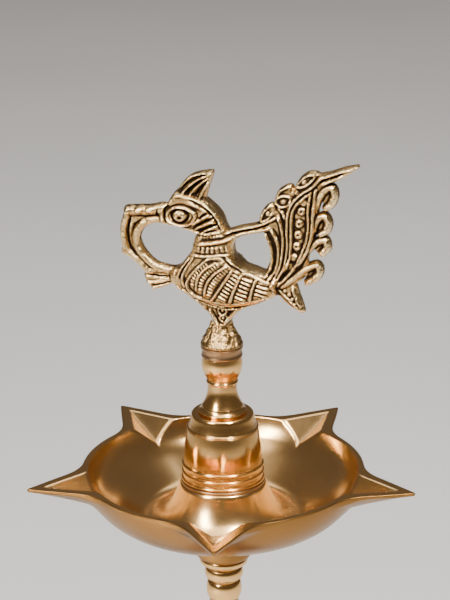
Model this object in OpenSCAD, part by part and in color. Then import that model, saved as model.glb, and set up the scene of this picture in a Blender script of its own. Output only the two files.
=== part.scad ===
// Brass standing oil lamp (samai): a foot and two stems, an oil pan with five wick spouts,
// a bell-shaped column, a neck and a cast bird. The sections screw together on studs.
// Millimetres, +Z up, origin at the centre of the foot's resting face. One spout points to -Y.

/* [Foot] */
// Radius of the foot where it rests
foot_r = 52; // [44:1:64]
// Height of the foot
foot_h = 44; // [38:1:54]
// Wall of the hollow foot
foot_wall = 3; // [2.5:0.5:4]
// Radius of the foot's top boss
foot_top_r = 10.5; // [9:0.5:13]

/* [Stems] */
// Height of the lower stem
lower_stem_h = 63; // [50:1:80]
// Height of the upper stem
upper_stem_h = 61.2; // [50:0.2:80]
// Largest radius of the lower stem
lower_stem_r = 9.6; // [8:0.2:12]
// Smallest radius of the lower stem
stem_neck_r = 6; // [5.4:0.1:7]
// Largest radius of the upper stem
upper_stem_r = 7.9; // [7.2:0.1:10]
// Radius of the ball under the pan
stem_ball_r = 5.9; // [5.5:0.1:7]
// Radius of the flange ring under the pan
pan_ring_r = 7.4; // [6.8:0.1:9]

/* [Rings] */
// Height of the ring on the foot
foot_ring_h = 3; // [2:0.2:4]
// Height of the rings on the two stems
stem_ring_h = 2.4; // [1.6:0.2:3.4]
// Height of the seat ring under the bell
washer_h = 0.8; // [0.6:0.1:1.2]
// Height of the collar under the bird
collar_h = 3.3; // [2.4:0.1:4.2]

/* [Oil pan] */
// Radius of the pan's rim
pan_r = 42.2; // [36:0.2:52]
// Thickness of the pan's rim
rim_t = 1.8; // [1.4:0.1:2.4]
// Depth of the bowl outside, rim to bottom
bowl_h = 18.2; // [16:0.2:24]
// Wall at the bowl's lowest place
floor_t = 2; // [1.6:0.2:3]
// Height of the boss under the bowl
boss_h = 10.8; // [9.6:0.2:14]
// Radius of the boss under the bowl
boss_r = 8.6; // [7.5:0.1:10]
// How far the raised centre stays below the rim
hill_drop = 4.2; // [3:0.2:6]
// Number of wick spouts
spouts = 5; // [3:1:7]
// How far a spout reaches past the rim
spout_reach = 17.1; // [14:0.1:24]
// Half the width of a spout where it leaves the rim
spout_half_w = 10.4; // [8:0.2:12]
// Depth of a spout where it leaves the rim
spout_depth = 6.4; // [5:0.2:8]
// Half the width of a spout's channel where it leaves the bowl
channel_half_w = 7.2; // [5:0.2:8]
// Depth of a spout's channel where it leaves the bowl
channel_depth = 5.2; // [3.6:0.2:6]
// Solid length at a spout's tip
tip_solid = 5; // [3:0.5:7]

/* [Bell and neck] */
// Radius of the bell's foot
bell_r = 12.5; // [11:0.1:15]
// Radius of the bell's top
bell_top_r = 9.15; // [8:0.05:11]
// Height of the bell
bell_h = 21.1; // [18:0.1:26]
// Radius of the ring on the bell
neck_ring_r = 7.2; // [6.6:0.1:8]
// Height of the ring on the bell
neck_ring_h = 2.3; // [1.8:0.1:3]
// Height of the neck
neck_h = 15.2; // [13:0.1:19]
// Radius of the neck's ball
neck_ball_r = 6.05; // [5.4:0.05:7]

/* [Bird] */
// Length of the bird, beak to tail tip
bird_l = 71; // [60:1:85]
// Thickness of the bird's body
body_t = 10; // [8:0.5:13]
// Thickness of the bird's tail
tail_t = 5; // [3.5:0.5:7]
// Turn of the bird as it sits when screwed home, seen from above
bird_turn = -11; // [-180:1:180]

/* [Screws] */
// Radius of the large studs
stud_r = 3; // [2.6:0.1:3.4]
// Radius of the small studs
small_stud_r = 2; // [1.8:0.1:2.2]
// Thread pitch of the large studs
pitch = 1.5; // [1:0.25:1.75]
// Thread pitch of the small studs
small_pitch = 1; // [0.7:0.05:1.1]
// Turns that a thread engages
turns = 6; // [4:1:6]
// Radial gap of a thread that turns
run_gap = 0.05; // [0.03:0.01:0.08]
// Radial gap around the fixed end of a stud
fixed_gap = 0.02; // [0.01:0.01:0.04]
// Gap past the end of a stud in its hole
end_gap = 0.5; // [0.3:0.1:1]

/* [Hidden] */
ROUND = 96;
BRASS = [0.80, 0.55, 0.33];
ANTIQUE = [0.72, 0.60, 0.38];
DARK = [0.45, 0.30, 0.17];

// Heights of the joints, from the ground up
foot_ring_z = foot_h;
lower_stem_z = foot_ring_z + foot_ring_h;
stem_ring_z = lower_stem_z + lower_stem_h;
upper_stem_z = stem_ring_z + stem_ring_h;
pan_ring_z = upper_stem_z + upper_stem_h;
pan_z = pan_ring_z + stem_ring_h;
bowl_z = pan_z + boss_h;
rim_z = bowl_z + bowl_h;
washer_z = rim_z - hill_drop;
bell_z = washer_z + washer_h;
neck_ring_z = bell_z + bell_h;
neck_z = neck_ring_z + neck_ring_h;
collar_z = neck_z + neck_h;
bird_z = collar_z + collar_h;

// A stud stands out of its seat by its engaged turns; its fixed end goes down by root
reach = pitch * turns;
small_reach = small_pitch * turns;
root = 10;
pan_root = 6.3;
small_root = 7;

// Curves
function spline(a, b, c, d, t) = 0.5 * (2 * b + (c - a) * t + (2 * a - 5 * b + 4 * c - d) * t * t
    + (3 * b - a - 3 * c + d) * t * t * t);
// Smooth closed curve through points
function loop(p, steps = 4) = let (n = len(p)) [for (i = [0:n - 1], k = [0:steps - 1])
    spline(p[(i + n - 1) % n], p[i], p[(i + 1) % n], p[(i + 2) % n], k / steps)];
// Smooth open curve through points
function curve(p, steps = 4) = let (n = len(p)) concat([for (i = [0:n - 2], k = [0:steps - 1])
    spline(p[max(i - 1, 0)], p[i], p[i + 1], p[min(i + 2, n - 1)], k / steps)], [p[n - 1]]);

// Solid turned around Z under an outline of [radius, height] points, bottom first
module turned(outline) {
    n = len(outline);
    rotate_extrude($fn = ROUND)
        polygon(concat([[0, outline[0][1]]], outline, [[0, outline[n - 1][1]]]));
}

// Round bead of the given height that stands out to radius r around z
module bead(r, z, h) {
    rotate_extrude($fn = ROUND)
        translate([r - h / 2, z])
            intersection() {
                circle(h / 2, $fn = 48);
                translate([0, -h])
                    square([h, 2 * h]);
            }
}

// Ring with a rounded edge and a hole that turns on a stud
module loose_ring(z, r, h, hole_r) {
    translate([0, 0, z])
        difference() {
            rotate_extrude($fn = ROUND)
                union() {
                    square([r - h / 2, h]);
                    translate([r - h / 2, h / 2])
                        circle(h / 2, $fn = 48);
                }
            hole(hole_r + run_gap, -1, h + 2);
        }
}

module hole(r, z, h) {
    translate([0, 0, z])
        cylinder(r = r, h = h, $fn = ROUND);
}

// Threaded hole in the underside of a piece, and the hole that holds a stud's fixed end
module screw_hole(r, z, h) {
    hole(r + run_gap, z - 1, h + end_gap + 1);
}

module fixed_hole(r, z, h) {
    hole(r + fixed_gap, z - h, h + 1);
}

// Stud with chamfered ends, fixed below z and standing out above it
module stud(r, z, below, above) {
    c = r / 5;
    turned([[r - c, z - below], [r, z - below + c], [r, z + above - c], [r - c, z + above]]);
}

// Foot: stepped dome, hollow underneath
function foot_outline(r, h) = concat(
    [[r - 0.8, 0], [r, 0.8], [r, 3.2], [r - 1.4, 4.4], [r - 3.4, 4.8]],
    curve([[r - 4.4, 6.4], [r - 9, 9], [r - 16, 11.4], [r - 19, 14.6]]),
    [[r - 19.6, 15.4]],
    curve([[r - 19.8, 19.2], [r - 21.6, h * 0.55], [foot_top_r + 13, h * 0.68], [foot_top_r + 5.4, h * 0.77],
        [foot_top_r + 0.4, h * 0.82], [foot_top_r - 1.5, h * 0.88]]),
    [[foot_top_r - 1.6, h]]);

module foot() {
    lip = 6;
    color(BRASS)
        difference() {
            union() {
                difference() {
                    turned(foot_outline(foot_r, foot_h));
                    translate([0, 0, -foot_wall])
                        turned(concat([[foot_r - foot_wall - lip / 2, 0]], curve([
                            [foot_r - lip - foot_wall / 2, 6.4], [foot_r - 10 - foot_wall, 9],
                            [foot_r - 17 - foot_wall, 11.8], [foot_r - 20 - foot_wall, 16],
                            [foot_r - 22 - foot_wall, foot_h * 0.55],
                            [foot_top_r + 10, foot_h * 0.68], [foot_top_r, foot_h * 0.75]])));
                }
                bead(foot_r - 17.4, 17.3, 4.2);
                bead(foot_top_r, foot_h - 2.2, 4.4);
                hole(stud_r + 4.4, foot_h - root - 2, root);
            }
            fixed_hole(stud_r, foot_h, root);
        }
}

module foot_stud() {
    color(DARK)
        stud(stud_r, foot_h, root, foot_ring_h + reach);
}

module foot_ring() {
    color(BRASS)
        loose_ring(foot_ring_z, foot_top_r + 1.2, foot_ring_h, stud_r);
}

// Lower stem: a vase between two sets of beads
module lower_stem() {
    r = lower_stem_r;
    h = lower_stem_h;
    neck = stem_neck_r;
    color(BRASS)
        difference() {
            translate([0, 0, lower_stem_z]) {
                turned(concat(
                    [[r - 0.6, 0], [r, 0.6], [r, 2.6], [r - 1.4, 3.6], [r - 2.4, 4.2]],
                    curve([[r - 2.8, 6], [r - 1.4, 9], [r - 0.2, h * 0.27], [r, h * 0.34],
                        [r - 1.4, h * 0.48], [neck + 0.6, h * 0.62], [neck, h * 0.72], [neck, h - 14]]),
                    [[neck, h - 3], [neck + 1.6, h - 2], [neck + 1.8, h]]));
                bead(neck + 1.4, h - 12, 3);
                bead(neck + 2.4, h - 7, 5);
            }
            screw_hole(stud_r, lower_stem_z, reach);
            fixed_hole(stud_r, stem_ring_z, root);
        }
}

module stem_stud() {
    color(DARK)
        stud(stud_r, stem_ring_z, root, stem_ring_h + reach);
}

module stem_ring() {
    color(BRASS)
        loose_ring(stem_ring_z, stem_neck_r + 2.9, stem_ring_h, stud_r);
}

// Upper stem: a slimmer vase with two balls and a flare under the pan
module upper_stem() {
    r = upper_stem_r;
    h = upper_stem_h;
    ball = stem_ball_r;
    color(BRASS)
        difference() {
            translate([0, 0, upper_stem_z]) {
                turned(concat(
                    [[r - 0.6, 0], [r - 0.1, 0.6], [r - 0.1, 2.2], [r - 1.2, 3.2], [r - 1.8, 4]],
                    curve([[r - 1.8, 6], [r - 0.6, 9], [r, h * 0.25], [r - 0.5, h * 0.36], [ball - 0.4, h * 0.5],
                        [ball - 1.1, h * 0.62], [ball - 1.3, h - 16], [ball - 1.4, h - 1.6]]),
                    [[pan_ring_r - 1.1, h - 0.3], [pan_ring_r - 0.9, h]]));
                bead(ball - 0.4, h - 18, 2.4);
                bead(ball - 0.6, h - 8.6, 6.2);
                bead(ball, h - 2.9, 4.4);
            }
            screw_hole(stud_r, upper_stem_z, reach);
            fixed_hole(stud_r, pan_ring_z, root);
        }
}

module stem_top_stud() {
    color(DARK)
        stud(stud_r, pan_ring_z, root, stem_ring_h + reach);
}

module pan_ring() {
    color(BRASS)
        loose_ring(pan_ring_z, pan_ring_r, stem_ring_h, stud_r);
}

// Oil pan: radius of the bowl's round wall at depth d, for a bowl of rim radius r and depth h
function bowl_r(d, r, h) = r * pow(1 - pow(d / h, 1.67), 0.25);
bowl_steps = [0.99, 0.96, 0.9, 0.8, 0.66, 0.5, 0.34, 0.2, 0.08, 0];
in_h = bowl_h - floor_t;
function bowl_outside() = concat([[boss_r, -bowl_h]],
    [for (u = bowl_steps) [bowl_r(u * bowl_h, pan_r, bowl_h), -u * bowl_h]]);
// The bowl's inside: up the raised centre's flank from its top, then up the round wall
function bowl_inside() = concat(
    curve([[bell_r + 0.3, -hill_drop], [bell_r + 1.1, -in_h * 0.44], [bell_r + 2.5, -in_h * 0.62],
        [bell_r + 5, -in_h * 0.79], [bell_r + 8.5, -in_h * 0.93], [bell_r + 12.5, -in_h]]),
    [for (u = bowl_steps) if (u < 0.96) [bowl_r(u * in_h, pan_r - rim_t, in_h), -u * in_h]]);

// Half width and depth of a spout, t running from 0 at its root to 1 at its tip
root_r = pan_r - 2.2;
tip_r = pan_r + spout_reach;
function spout_w(t) = spout_half_w * (1 - t) + 4.6 * pow(max(0, 1 - 2.6 * t), 2);
function spout_d(t) = spout_depth * (1 - t) + 0.6;

// Side-to-side row of a skin at distance s: two edges at height up and a keel at depth d
function keel_row(s, w, d, up, round) = concat([[s, w, up]],
    [for (a = [-1:0.5:1]) [s, -a * w * 0.9, -d * (1 - pow(abs(a), round) * 0.92)]], [[s, -w, up]]);

// Closed skin over the rows
module rows_solid(rows) {
    n = len(rows[0]);
    m = len(rows);
    polyhedron(points = [for (row = rows) each row], faces = concat(
        [[for (j = [n - 1:-1:0]) j]], [[for (j = [0:n - 1]) (m - 1) * n + j]],
        [for (i = [0:m - 2], j = [0:n - 1]) each let (a = i * n + j, b = i * n + (j + 1) % n)
            [[b, a + n, a], [b + n, a + n, b]]]));
}

module spout_outside() {
    rows_solid([for (t = [0:0.1:1]) keel_row(root_r + t * (tip_r - root_r), max(spout_w(t), 0.06), spout_d(t), 0, 1.5)]);
}

module spout_channel() {
    end_r = tip_r - tip_solid;
    rows_solid([for (t = [-0.25:0.125:1]) keel_row(root_r + t * (end_r - root_r),
        max(channel_half_w * (1 - t), 0.05), max(channel_depth * (1 - t), 0.1), 0.5, 1.2)]);
}

module oil_pan() {
    inside = bowl_inside();
    color(BRASS)
        difference() {
            translate([0, 0, rim_z])
                difference() {
                    union() {
                        turned(bowl_outside());
                        for (i = [0:spouts - 1])
                            rotate(-90 + i * 360 / spouts)
                                spout_outside();
                    }
                    rotate_extrude($fn = ROUND)
                        polygon(concat([[0, -hill_drop]], inside, [[pan_r - rim_t, 2], [0, 2]]));
                    for (i = [0:spouts - 1])
                        rotate(-90 + i * 360 / spouts)
                            spout_channel();
                }
            fixed_hole(stud_r, washer_z, pan_root);
        }
    color(BRASS)
        pan_boss();
}

// Boss under the bowl, drilled for the stem's stud
module pan_boss() {
    difference() {
        translate([0, 0, pan_z])
            turned([[boss_r - 1.4, 0], [boss_r, 1.4], [boss_r, boss_h]]);
        screw_hole(stud_r, pan_z, reach);
    }
}

module pan_stud() {
    color(DARK)
        stud(stud_r, washer_z, pan_root, washer_h + reach);
}

module bell_washer() {
    color(DARK)
        loose_ring(washer_z, bell_r + 0.2, washer_h, stud_r);
}

// Bell-shaped column: three rings at its foot, a ledge and a band at its top
module bell() {
    r = bell_r;
    top = bell_top_r;
    h = bell_h;
    ledge = h - 4.4;
    color(BRASS)
        difference() {
            translate([0, 0, bell_z]) {
                turned(concat([[r - 0.5, 0], [r - 0.4, 5.6]],
                    curve([[r - 0.7, 6.2], [r - 1.2, 9.4], [r - 1.6, 12], [top + 1.2, ledge - 1.2]], 3),
                    [[top + 1.15, ledge + 0.4], [top + 0.2, ledge + 0.9], [top, h - 0.3], [top - 0.3, h]]));
                bead(r, 1, 1.8);
                bead(r - 0.15, 2.9, 1.8);
                bead(r - 0.3, 5, 1.8);
                bead(top + 1.3, ledge - 0.3, 1.2);
            }
            screw_hole(stud_r, bell_z, reach);
            fixed_hole(small_stud_r, neck_ring_z, small_root);
        }
}

module neck_ring() {
    color(BRASS)
        loose_ring(neck_ring_z, neck_ring_r, neck_ring_h, small_stud_r);
}

module neck_stud() {
    color(DARK)
        stud(small_stud_r, neck_ring_z, small_root, neck_ring_h + small_reach);
}

// Neck: flared foot, thin waist, bead and ball
module neck() {
    ball = neck_ball_r;
    waist = ball - 1.8;
    h = neck_h;
    color(BRASS)
        difference() {
            translate([0, 0, neck_z]) {
                turned(concat([[waist + 2.5, 0], [waist + 2.7, 0.3]],
                    curve([[waist + 2.2, 0.6], [waist + 0.8, 1.2], [waist + 0.1, 2.4], [waist, 4.4], [waist, 6.6]], 3),
                    curve([[waist + 0.1, h - 7.4], [waist + 0.7, h - 6.6], [ball - 0.4, h - 4.4], [ball, h - 1.8],
                        [ball - 0.2, h]], 3)));
                bead(waist + 0.5, 7.3, 1);
            }
            screw_hole(small_stud_r, neck_z, small_reach);
            fixed_hole(small_stud_r, collar_z, small_root - 1);
        }
}

module bird_collar() {
    color(DARK)
        difference() {
            translate([0, 0, collar_z])
                turned([[neck_ball_r - 0.15, 0], [neck_ball_r + 0.1, 0.5], [neck_ball_r + 0.2, collar_h]]);
            hole(small_stud_r + run_gap, collar_z - 1, collar_h + 2);
        }
}

module bird_stud() {
    color(DARK)
        stud(small_stud_r, collar_z, small_root - 1, collar_h + small_reach);
}

// Bird: outlines of [along, up] points, up measured from the underside of its foot
BIRD_DRAWN_L = 70.5;
LEGS = [[-1.2, 6.5], [-2.4, 10], [-7, 13.5], [-10, 16], [-5, 17.5], [8, 17.5], [12, 16.2], [8, 13.4],
    [4.6, 11], [3, 8.4], [2.4, 6.5]];
BODY = [[-13.6, 18.6], [-8.6, 15.4], [-4, 13.6], [2, 13.2], [8, 13.6], [14.2, 15.8], [17, 17.5], [17, 22],
    [13, 23.6], [7, 24.4], [4, 27.4], [3.4, 32], [3.6, 34.6], [-5.4, 34.6], [-7, 31.4], [-7.6, 29],
    [-9.6, 26.6], [-12, 24], [-14.4, 21.8]];
WING = [[-8.8, 20.2], [-7.4, 17], [-3.6, 15.4], [3, 14.6], [9, 15.6], [15, 17.2], [14.6, 21], [9, 22.4],
    [4.4, 24.6], [1, 27.4], [-3, 27], [-6.6, 24.4]];
HEAD = [[-14.2, 42], [-15.2, 39.6], [-15, 37], [-11, 35.4], [-6.4, 34], [-6.4, 32.4], [3.6, 32.8], [2.2, 36.6],
    [0.8, 40], [-2, 43], [-5, 45], [-9, 46], [-12, 46.4], [-13.8, 45]];
CREST = [[-12.2, 45.4], [-10.8, 49], [-8, 51.4], [-4.6, 52.4], [-1.8, 52.6], [-2.4, 50], [-3.4, 46.6],
    [-4.6, 44], [-9, 44.4]];
TAIL = [[14, 17.6], [18.4, 17.4], [21.8, 14], [24.4, 12.2], [23.8, 15], [22.6, 19], [24.8, 21],
    [28.6, 23], [29.4, 26.4], [27.8, 28.8], [30.8, 30.4], [31.6, 33], [30.2, 35.6], [32, 38], [31.8, 41],
    [30, 42.4], [33, 44.4], [33.8, 48], [32.8, 50.6], [37.4, 54.2], [40, 56.4], [34.6, 55.2], [29.6, 53.4],
    [26.4, 53.6], [23, 51.6], [21.6, 50], [20, 49.6], [17.4, 48], [16.2, 45], [14.6, 43.6], [12.4, 41.4],
    [11.2, 38.4], [13.2, 35.8], [14.4, 31.6], [14.8, 27.6], [13.8, 23.8]];
SCARF = [[2, 34.2], [8, 34.8], [14.4, 36.4], [14.6, 38.6], [10, 38], [5, 37], [1, 36]];
WREATH_OUT = [[-13, 21.4], [-15.4, 18.6], [-19.8, 16.8], [-21.8, 18.6], [-22.4, 22.6], [-25.2, 25.8],
    [-27.4, 26.8], [-29.6, 27.6], [-28.8, 30.6], [-28.8, 34.6], [-27.8, 39.4], [-26.8, 40.2], [-22, 40.8],
    [-17.6, 41.6], [-14, 41], [-12, 36.4], [-12, 30], [-11, 24]];
WREATH_IN = [[-23.4, 34], [-21.6, 35.8], [-17, 35.6], [-10.6, 34.2], [-7, 31.6], [-7.8, 29],
    [-9.8, 26.6], [-12.2, 24], [-14.6, 22.6], [-18, 23.6], [-21.4, 26], [-23.6, 29.4], [-24, 32]];
EYE = [-11.2, 39.6];

// Slab of the given thickness, its closed outline in the bird's own plane
module slab(outline, t) {
    rotate([90, 0, 0])
        linear_extrude(t, center = true)
            polygon(loop(outline, 3));
}

module bird_finial() {
    k = bird_l / BIRD_DRAWN_L;
    color(ANTIQUE)
        translate([0, 0, bird_z])
            rotate(bird_turn)
                difference() {
                    union() {
                        turned(concat([[5.9, 0], [6.3, 0.5], [6.2, 1]],
                            curve([[5.4, 2], [3.9, 4.2], [3.3, 6.2], [3.2, 8]], 3)));
                        scale(k) {
                            slab(LEGS, body_t * 0.68);
                            slab(BODY, body_t * 0.92);
                            slab(WING, body_t * 1.1);
                            slab(HEAD, body_t * 0.8);
                            slab(CREST, tail_t * 0.8);
                            slab(TAIL, tail_t);
                            slab(SCARF, tail_t * 0.8);
                            rotate([90, 0, 0])
                                linear_extrude(tail_t * 0.9, center = true)
                                    difference() {
                                        polygon(loop(WREATH_OUT, 3));
                                        polygon(loop(WREATH_IN, 3));
                                    }
                            translate([EYE[0], 0, EYE[1]])
                                rotate([90, 0, 0])
                                    cylinder(r = 3.4, h = body_t, center = true, $fn = ROUND);
                        }
                    }
                    screw_hole(small_stud_r, 0, small_reach);
                }
}

foot();
foot_stud();
foot_ring();
lower_stem();
stem_stud();
stem_ring();
upper_stem();
stem_top_stud();
pan_ring();
oil_pan();
pan_stud();
bell_washer();
bell();
neck_ring();
neck_stud();
neck();
bird_collar();
bird_stud();
bird_finial();
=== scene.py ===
# %% [markdown]
# # A brass standing oil lamp
# The real lamp is a stack of turned brass pieces that screw together on studs: a foot, two stems,
# an oil pan with five wick spouts, a bell, a neck, and a cast bird on top. The CAD frame holds the
# sizes, the joints and the bodies. This lesson gives each piece its finished mesh and its metal.
# Lengths are in metres in the frame, so the pieces below are drawn in millimetres times MM.

# %% Load the frame
import math

import bmesh
import bpy
import numpy as np
from mathutils import Matrix, Vector, noise


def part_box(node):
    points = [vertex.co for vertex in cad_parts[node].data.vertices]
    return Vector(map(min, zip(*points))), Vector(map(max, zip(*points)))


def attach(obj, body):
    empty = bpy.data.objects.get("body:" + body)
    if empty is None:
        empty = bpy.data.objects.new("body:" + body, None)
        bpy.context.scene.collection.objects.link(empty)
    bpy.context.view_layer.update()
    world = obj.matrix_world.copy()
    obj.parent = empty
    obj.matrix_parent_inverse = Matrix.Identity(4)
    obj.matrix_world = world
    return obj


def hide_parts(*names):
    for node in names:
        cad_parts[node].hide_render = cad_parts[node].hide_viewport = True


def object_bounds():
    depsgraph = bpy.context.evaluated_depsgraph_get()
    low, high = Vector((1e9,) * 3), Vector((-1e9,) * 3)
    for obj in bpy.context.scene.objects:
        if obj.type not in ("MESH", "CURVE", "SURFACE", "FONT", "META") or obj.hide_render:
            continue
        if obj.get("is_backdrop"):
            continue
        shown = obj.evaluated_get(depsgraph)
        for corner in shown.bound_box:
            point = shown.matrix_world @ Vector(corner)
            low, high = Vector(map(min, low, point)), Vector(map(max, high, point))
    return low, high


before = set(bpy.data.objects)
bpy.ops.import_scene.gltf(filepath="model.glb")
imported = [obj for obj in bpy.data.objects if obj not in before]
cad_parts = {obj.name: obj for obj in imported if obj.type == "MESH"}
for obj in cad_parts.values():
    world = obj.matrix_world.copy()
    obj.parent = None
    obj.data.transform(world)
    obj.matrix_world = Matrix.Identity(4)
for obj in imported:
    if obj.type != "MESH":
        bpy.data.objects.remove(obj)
cad_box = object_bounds()
MM = 0.001
scene = bpy.context.scene
print("CAD box", [round(v / MM, 1) for corner in cad_box for v in corner])


def height_of(node):
    """Lowest and highest z of a CAD node, in mm."""
    low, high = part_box(node)
    return low.z / MM, high.z / MM


def radius_of(node):
    """Largest radius of a turned CAD node, in mm."""
    low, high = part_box(node)
    return (high.x - low.x) / 2 / MM


# %% [markdown]
# ## Camera
# A long lens keeps the lamp's proportions natural. The camera stands a little above the pan and
# looks down into it, so the rim shows as a flat ellipse. A position worked out from an azimuth, an
# elevation and a distance is easier to reason about than three raw numbers, and the aim point is
# then a height on the lamp's own axis plane.

# %% Camera
RIM_Z = height_of("oil_pan")[1]
CAMERA_AZIMUTH = math.radians(2.7)
CAMERA_ELEVATION = math.radians(23.5)
CAMERA_DISTANCE = 600
CAMERA_ROLL = math.radians(0.5)
AIM = Vector((1.03, 0, RIM_Z + 52.4)) * MM

out = Vector((
    math.sin(CAMERA_AZIMUTH) * math.cos(CAMERA_ELEVATION),
    -math.cos(CAMERA_AZIMUTH) * math.cos(CAMERA_ELEVATION),
    math.sin(CAMERA_ELEVATION),
))
camera = bpy.data.objects.new("camera", bpy.data.cameras.new("camera"))
scene.collection.objects.link(camera)
camera.data.lens = 120
camera.data.clip_start = 0.01
camera.data.clip_end = 50
camera.location = (out * CAMERA_DISTANCE + Vector((0, 0, RIM_Z))) * MM
look = (AIM - camera.location).to_track_quat("-Z", "Y")
camera.rotation_euler = (look.to_matrix() @ Matrix.Rotation(-CAMERA_ROLL, 3, "Z")).to_euler()
scene.camera = camera
print("camera at", [round(v / MM) for v in camera.location])

# %% [markdown]
# ## Building node trees
# Materials and Geometry Nodes are both trees of nodes. Each node has to be made, set and linked,
# which takes many lines by hand. One helper does all three, so that a tree reads as plain nested
# calls. An input goes by its label, with _ for a space, or by its place as _0, _1 and so on.

# %% Node helpers
def linker(tree):
    """Makes add(kind, settings, inputs): a node whose inputs are set to numbers or linked sockets."""
    def add(kind, settings=None, **inputs):
        node = tree.nodes.new(kind)
        for key, value in (settings or {}).items():
            setattr(node, key, value)
        for key, value in inputs.items():
            key = int(key[1:]) if key[0] == "_" else key.replace("_", " ")
            if isinstance(value, bpy.types.NodeSocket):
                tree.links.new(value, node.inputs[key])
            else:
                node.inputs[key].default_value = value
        return node

    return add


def maths(add, operation, *values, clamp=False):
    """A number worked out from one, two or three others."""
    inputs = {"_" + str(place): value for place, value in enumerate(values)}
    return add("ShaderNodeMath", {"operation": operation, "use_clamp": clamp}, **inputs).outputs[0]


def ranged(add, value, low, high, to_low=0.0, to_high=1.0):
    """A value stretched from one range onto another, and held inside it."""
    return add("ShaderNodeMapRange", Value=value, From_Min=low, From_Max=high, To_Min=to_low,
               To_Max=to_high).outputs[0]


def mixed(add, share, first, second):
    """Two colours mixed by a share; each is three numbers or a socket."""
    first, second = (c if isinstance(c, bpy.types.NodeSocket) else (*c, 1) for c in (first, second))
    return add("ShaderNodeMix", {"data_type": "RGBA"}, _0=share, _6=first, _7=second).outputs[2]


def cloudy(add, spot, scale, detail, rough=0.5, distortion=0.0):
    """Soft noise that is looked up at a spot."""
    return add("ShaderNodeTexNoise", Vector=spot, Scale=scale, Detail=detail, Roughness=rough,
               Distortion=distortion).outputs["Fac"]


def new_material(name):
    """An empty node material and its add function."""
    material = bpy.data.materials.new(name)
    material.use_nodes = True
    material.node_tree.nodes.clear()
    return material, linker(material.node_tree)


print("node helpers", [helper.__name__ for helper in (linker, maths, ranged, mixed, cloudy)])

# %% [markdown]
# ## Floor and light
# Polished metal shows what stands around it, so the light is part of the finish. A pale floor, a
# dim warm room and a few large soft lights give brass long clean highlights next to deep browns.
# A light that is large or close gives a soft edge; a dim world keeps the shadows inside the metal.

# %% Floor
FLOOR_SIZE = 6.0
FLOOR_SHADES = (0.47, 0.53)
FLOOR_GRAIN = 3.0


def floor_material():
    material, add = new_material("floor_card")
    spot = add("ShaderNodeTexCoord").outputs["Object"]
    shade = ranged(add, cloudy(add, spot, FLOOR_GRAIN, 2.0), 0.0, 1.0, *FLOOR_SHADES)
    shader = add("ShaderNodeBsdfPrincipled", Base_Color=shade, Roughness=0.75)
    add("ShaderNodeOutputMaterial", Surface=shader.outputs[0])
    return material


half = FLOOR_SIZE / 2
floor_mesh = bpy.data.meshes.new("floor")
floor_corners = [(-half, -half, 0), (half, -half, 0), (half, half, 0), (-half, half, 0)]
floor_mesh.from_pydata(floor_corners, [], [(0, 1, 2, 3)])
floor = bpy.data.objects.new("floor", floor_mesh)
floor.data.materials.append(floor_material())
scene.collection.objects.link(floor)
floor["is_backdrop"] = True
print("floor", FLOOR_SIZE, "m square")

# %% Room and lights
ROOM_TONE = (0.50, 0.43, 0.37)
ROOM_STRENGTH = 0.26

world = bpy.data.worlds.new("room")
world.use_nodes = True
background = world.node_tree.nodes["Background"]
background.inputs["Color"].default_value = (*ROOM_TONE, 1)
background.inputs["Strength"].default_value = ROOM_STRENGTH
scene.world = world


def softbox(name, azimuth, elevation, distance, size, power, tint, spread=180, aim=(0, 0, RIM_Z)):
    """Rectangular light aimed at a point; azimuth 0 is in front, positive to the right."""
    a, e = math.radians(azimuth), math.radians(elevation)
    light = bpy.data.lights.new(name, "AREA")
    light.shape = "RECTANGLE"
    light.size, light.size_y = size
    light.energy = power
    light.color = tint
    light.spread = math.radians(spread)
    box = bpy.data.objects.new(name, light)
    target = Vector(aim) * MM
    box.location = target + distance * Vector((
        math.sin(a) * math.cos(e), -math.cos(a) * math.cos(e), math.sin(e)))
    box.rotation_euler = (target - box.location).to_track_quat("-Z", "Y").to_euler()
    scene.collection.objects.link(box)
    print(name, "at", [round(v, 2) for v in box.location])


softbox("ceiling", -14, 72, 2.2, (1.9, 1.5), 26, (1.0, 0.94, 0.86))
softbox("window_left", -42, 38, 1.9, (0.4, 1.1), 17, (1.0, 0.96, 0.9), 100)
softbox("window_right", 40, 60, 1.8, (0.36, 0.42), 17, (1.0, 0.96, 0.9), 100)
softbox("pool_left", -60, 74, 1.9, (0.35, 0.35), 6, (1.0, 0.95, 0.88), 26, (-400, -380, 0))
softbox("floor_wash", 0, 88, 2.6, (2.0, 1.6), 20, (1.0, 0.98, 0.95), aim=(0, 1500, 0))

# %% [markdown]
# ## The lathe
# Every turned piece is one outline swept once around the axis, just as the tool on a lathe leaves
# it. The Screw modifier could do that; a Geometry Nodes tree does it with named inputs and closes
# the seam and the poles by itself. The tree lays a grid with one row for each outline point, bends
# it round the axis, merges what meets, and copies a "groove" value from the outline to the surface
# so that the metal can darken in its hollows.

# %% Lathe tree
def group_input(tree, name, kind, default=None):
    """A named input of a tree, which each piece then sets for itself."""
    socket = tree.interface.new_socket(name, in_out="INPUT", socket_type=kind)
    if default is not None:
        socket.default_value = default
    return socket


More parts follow.
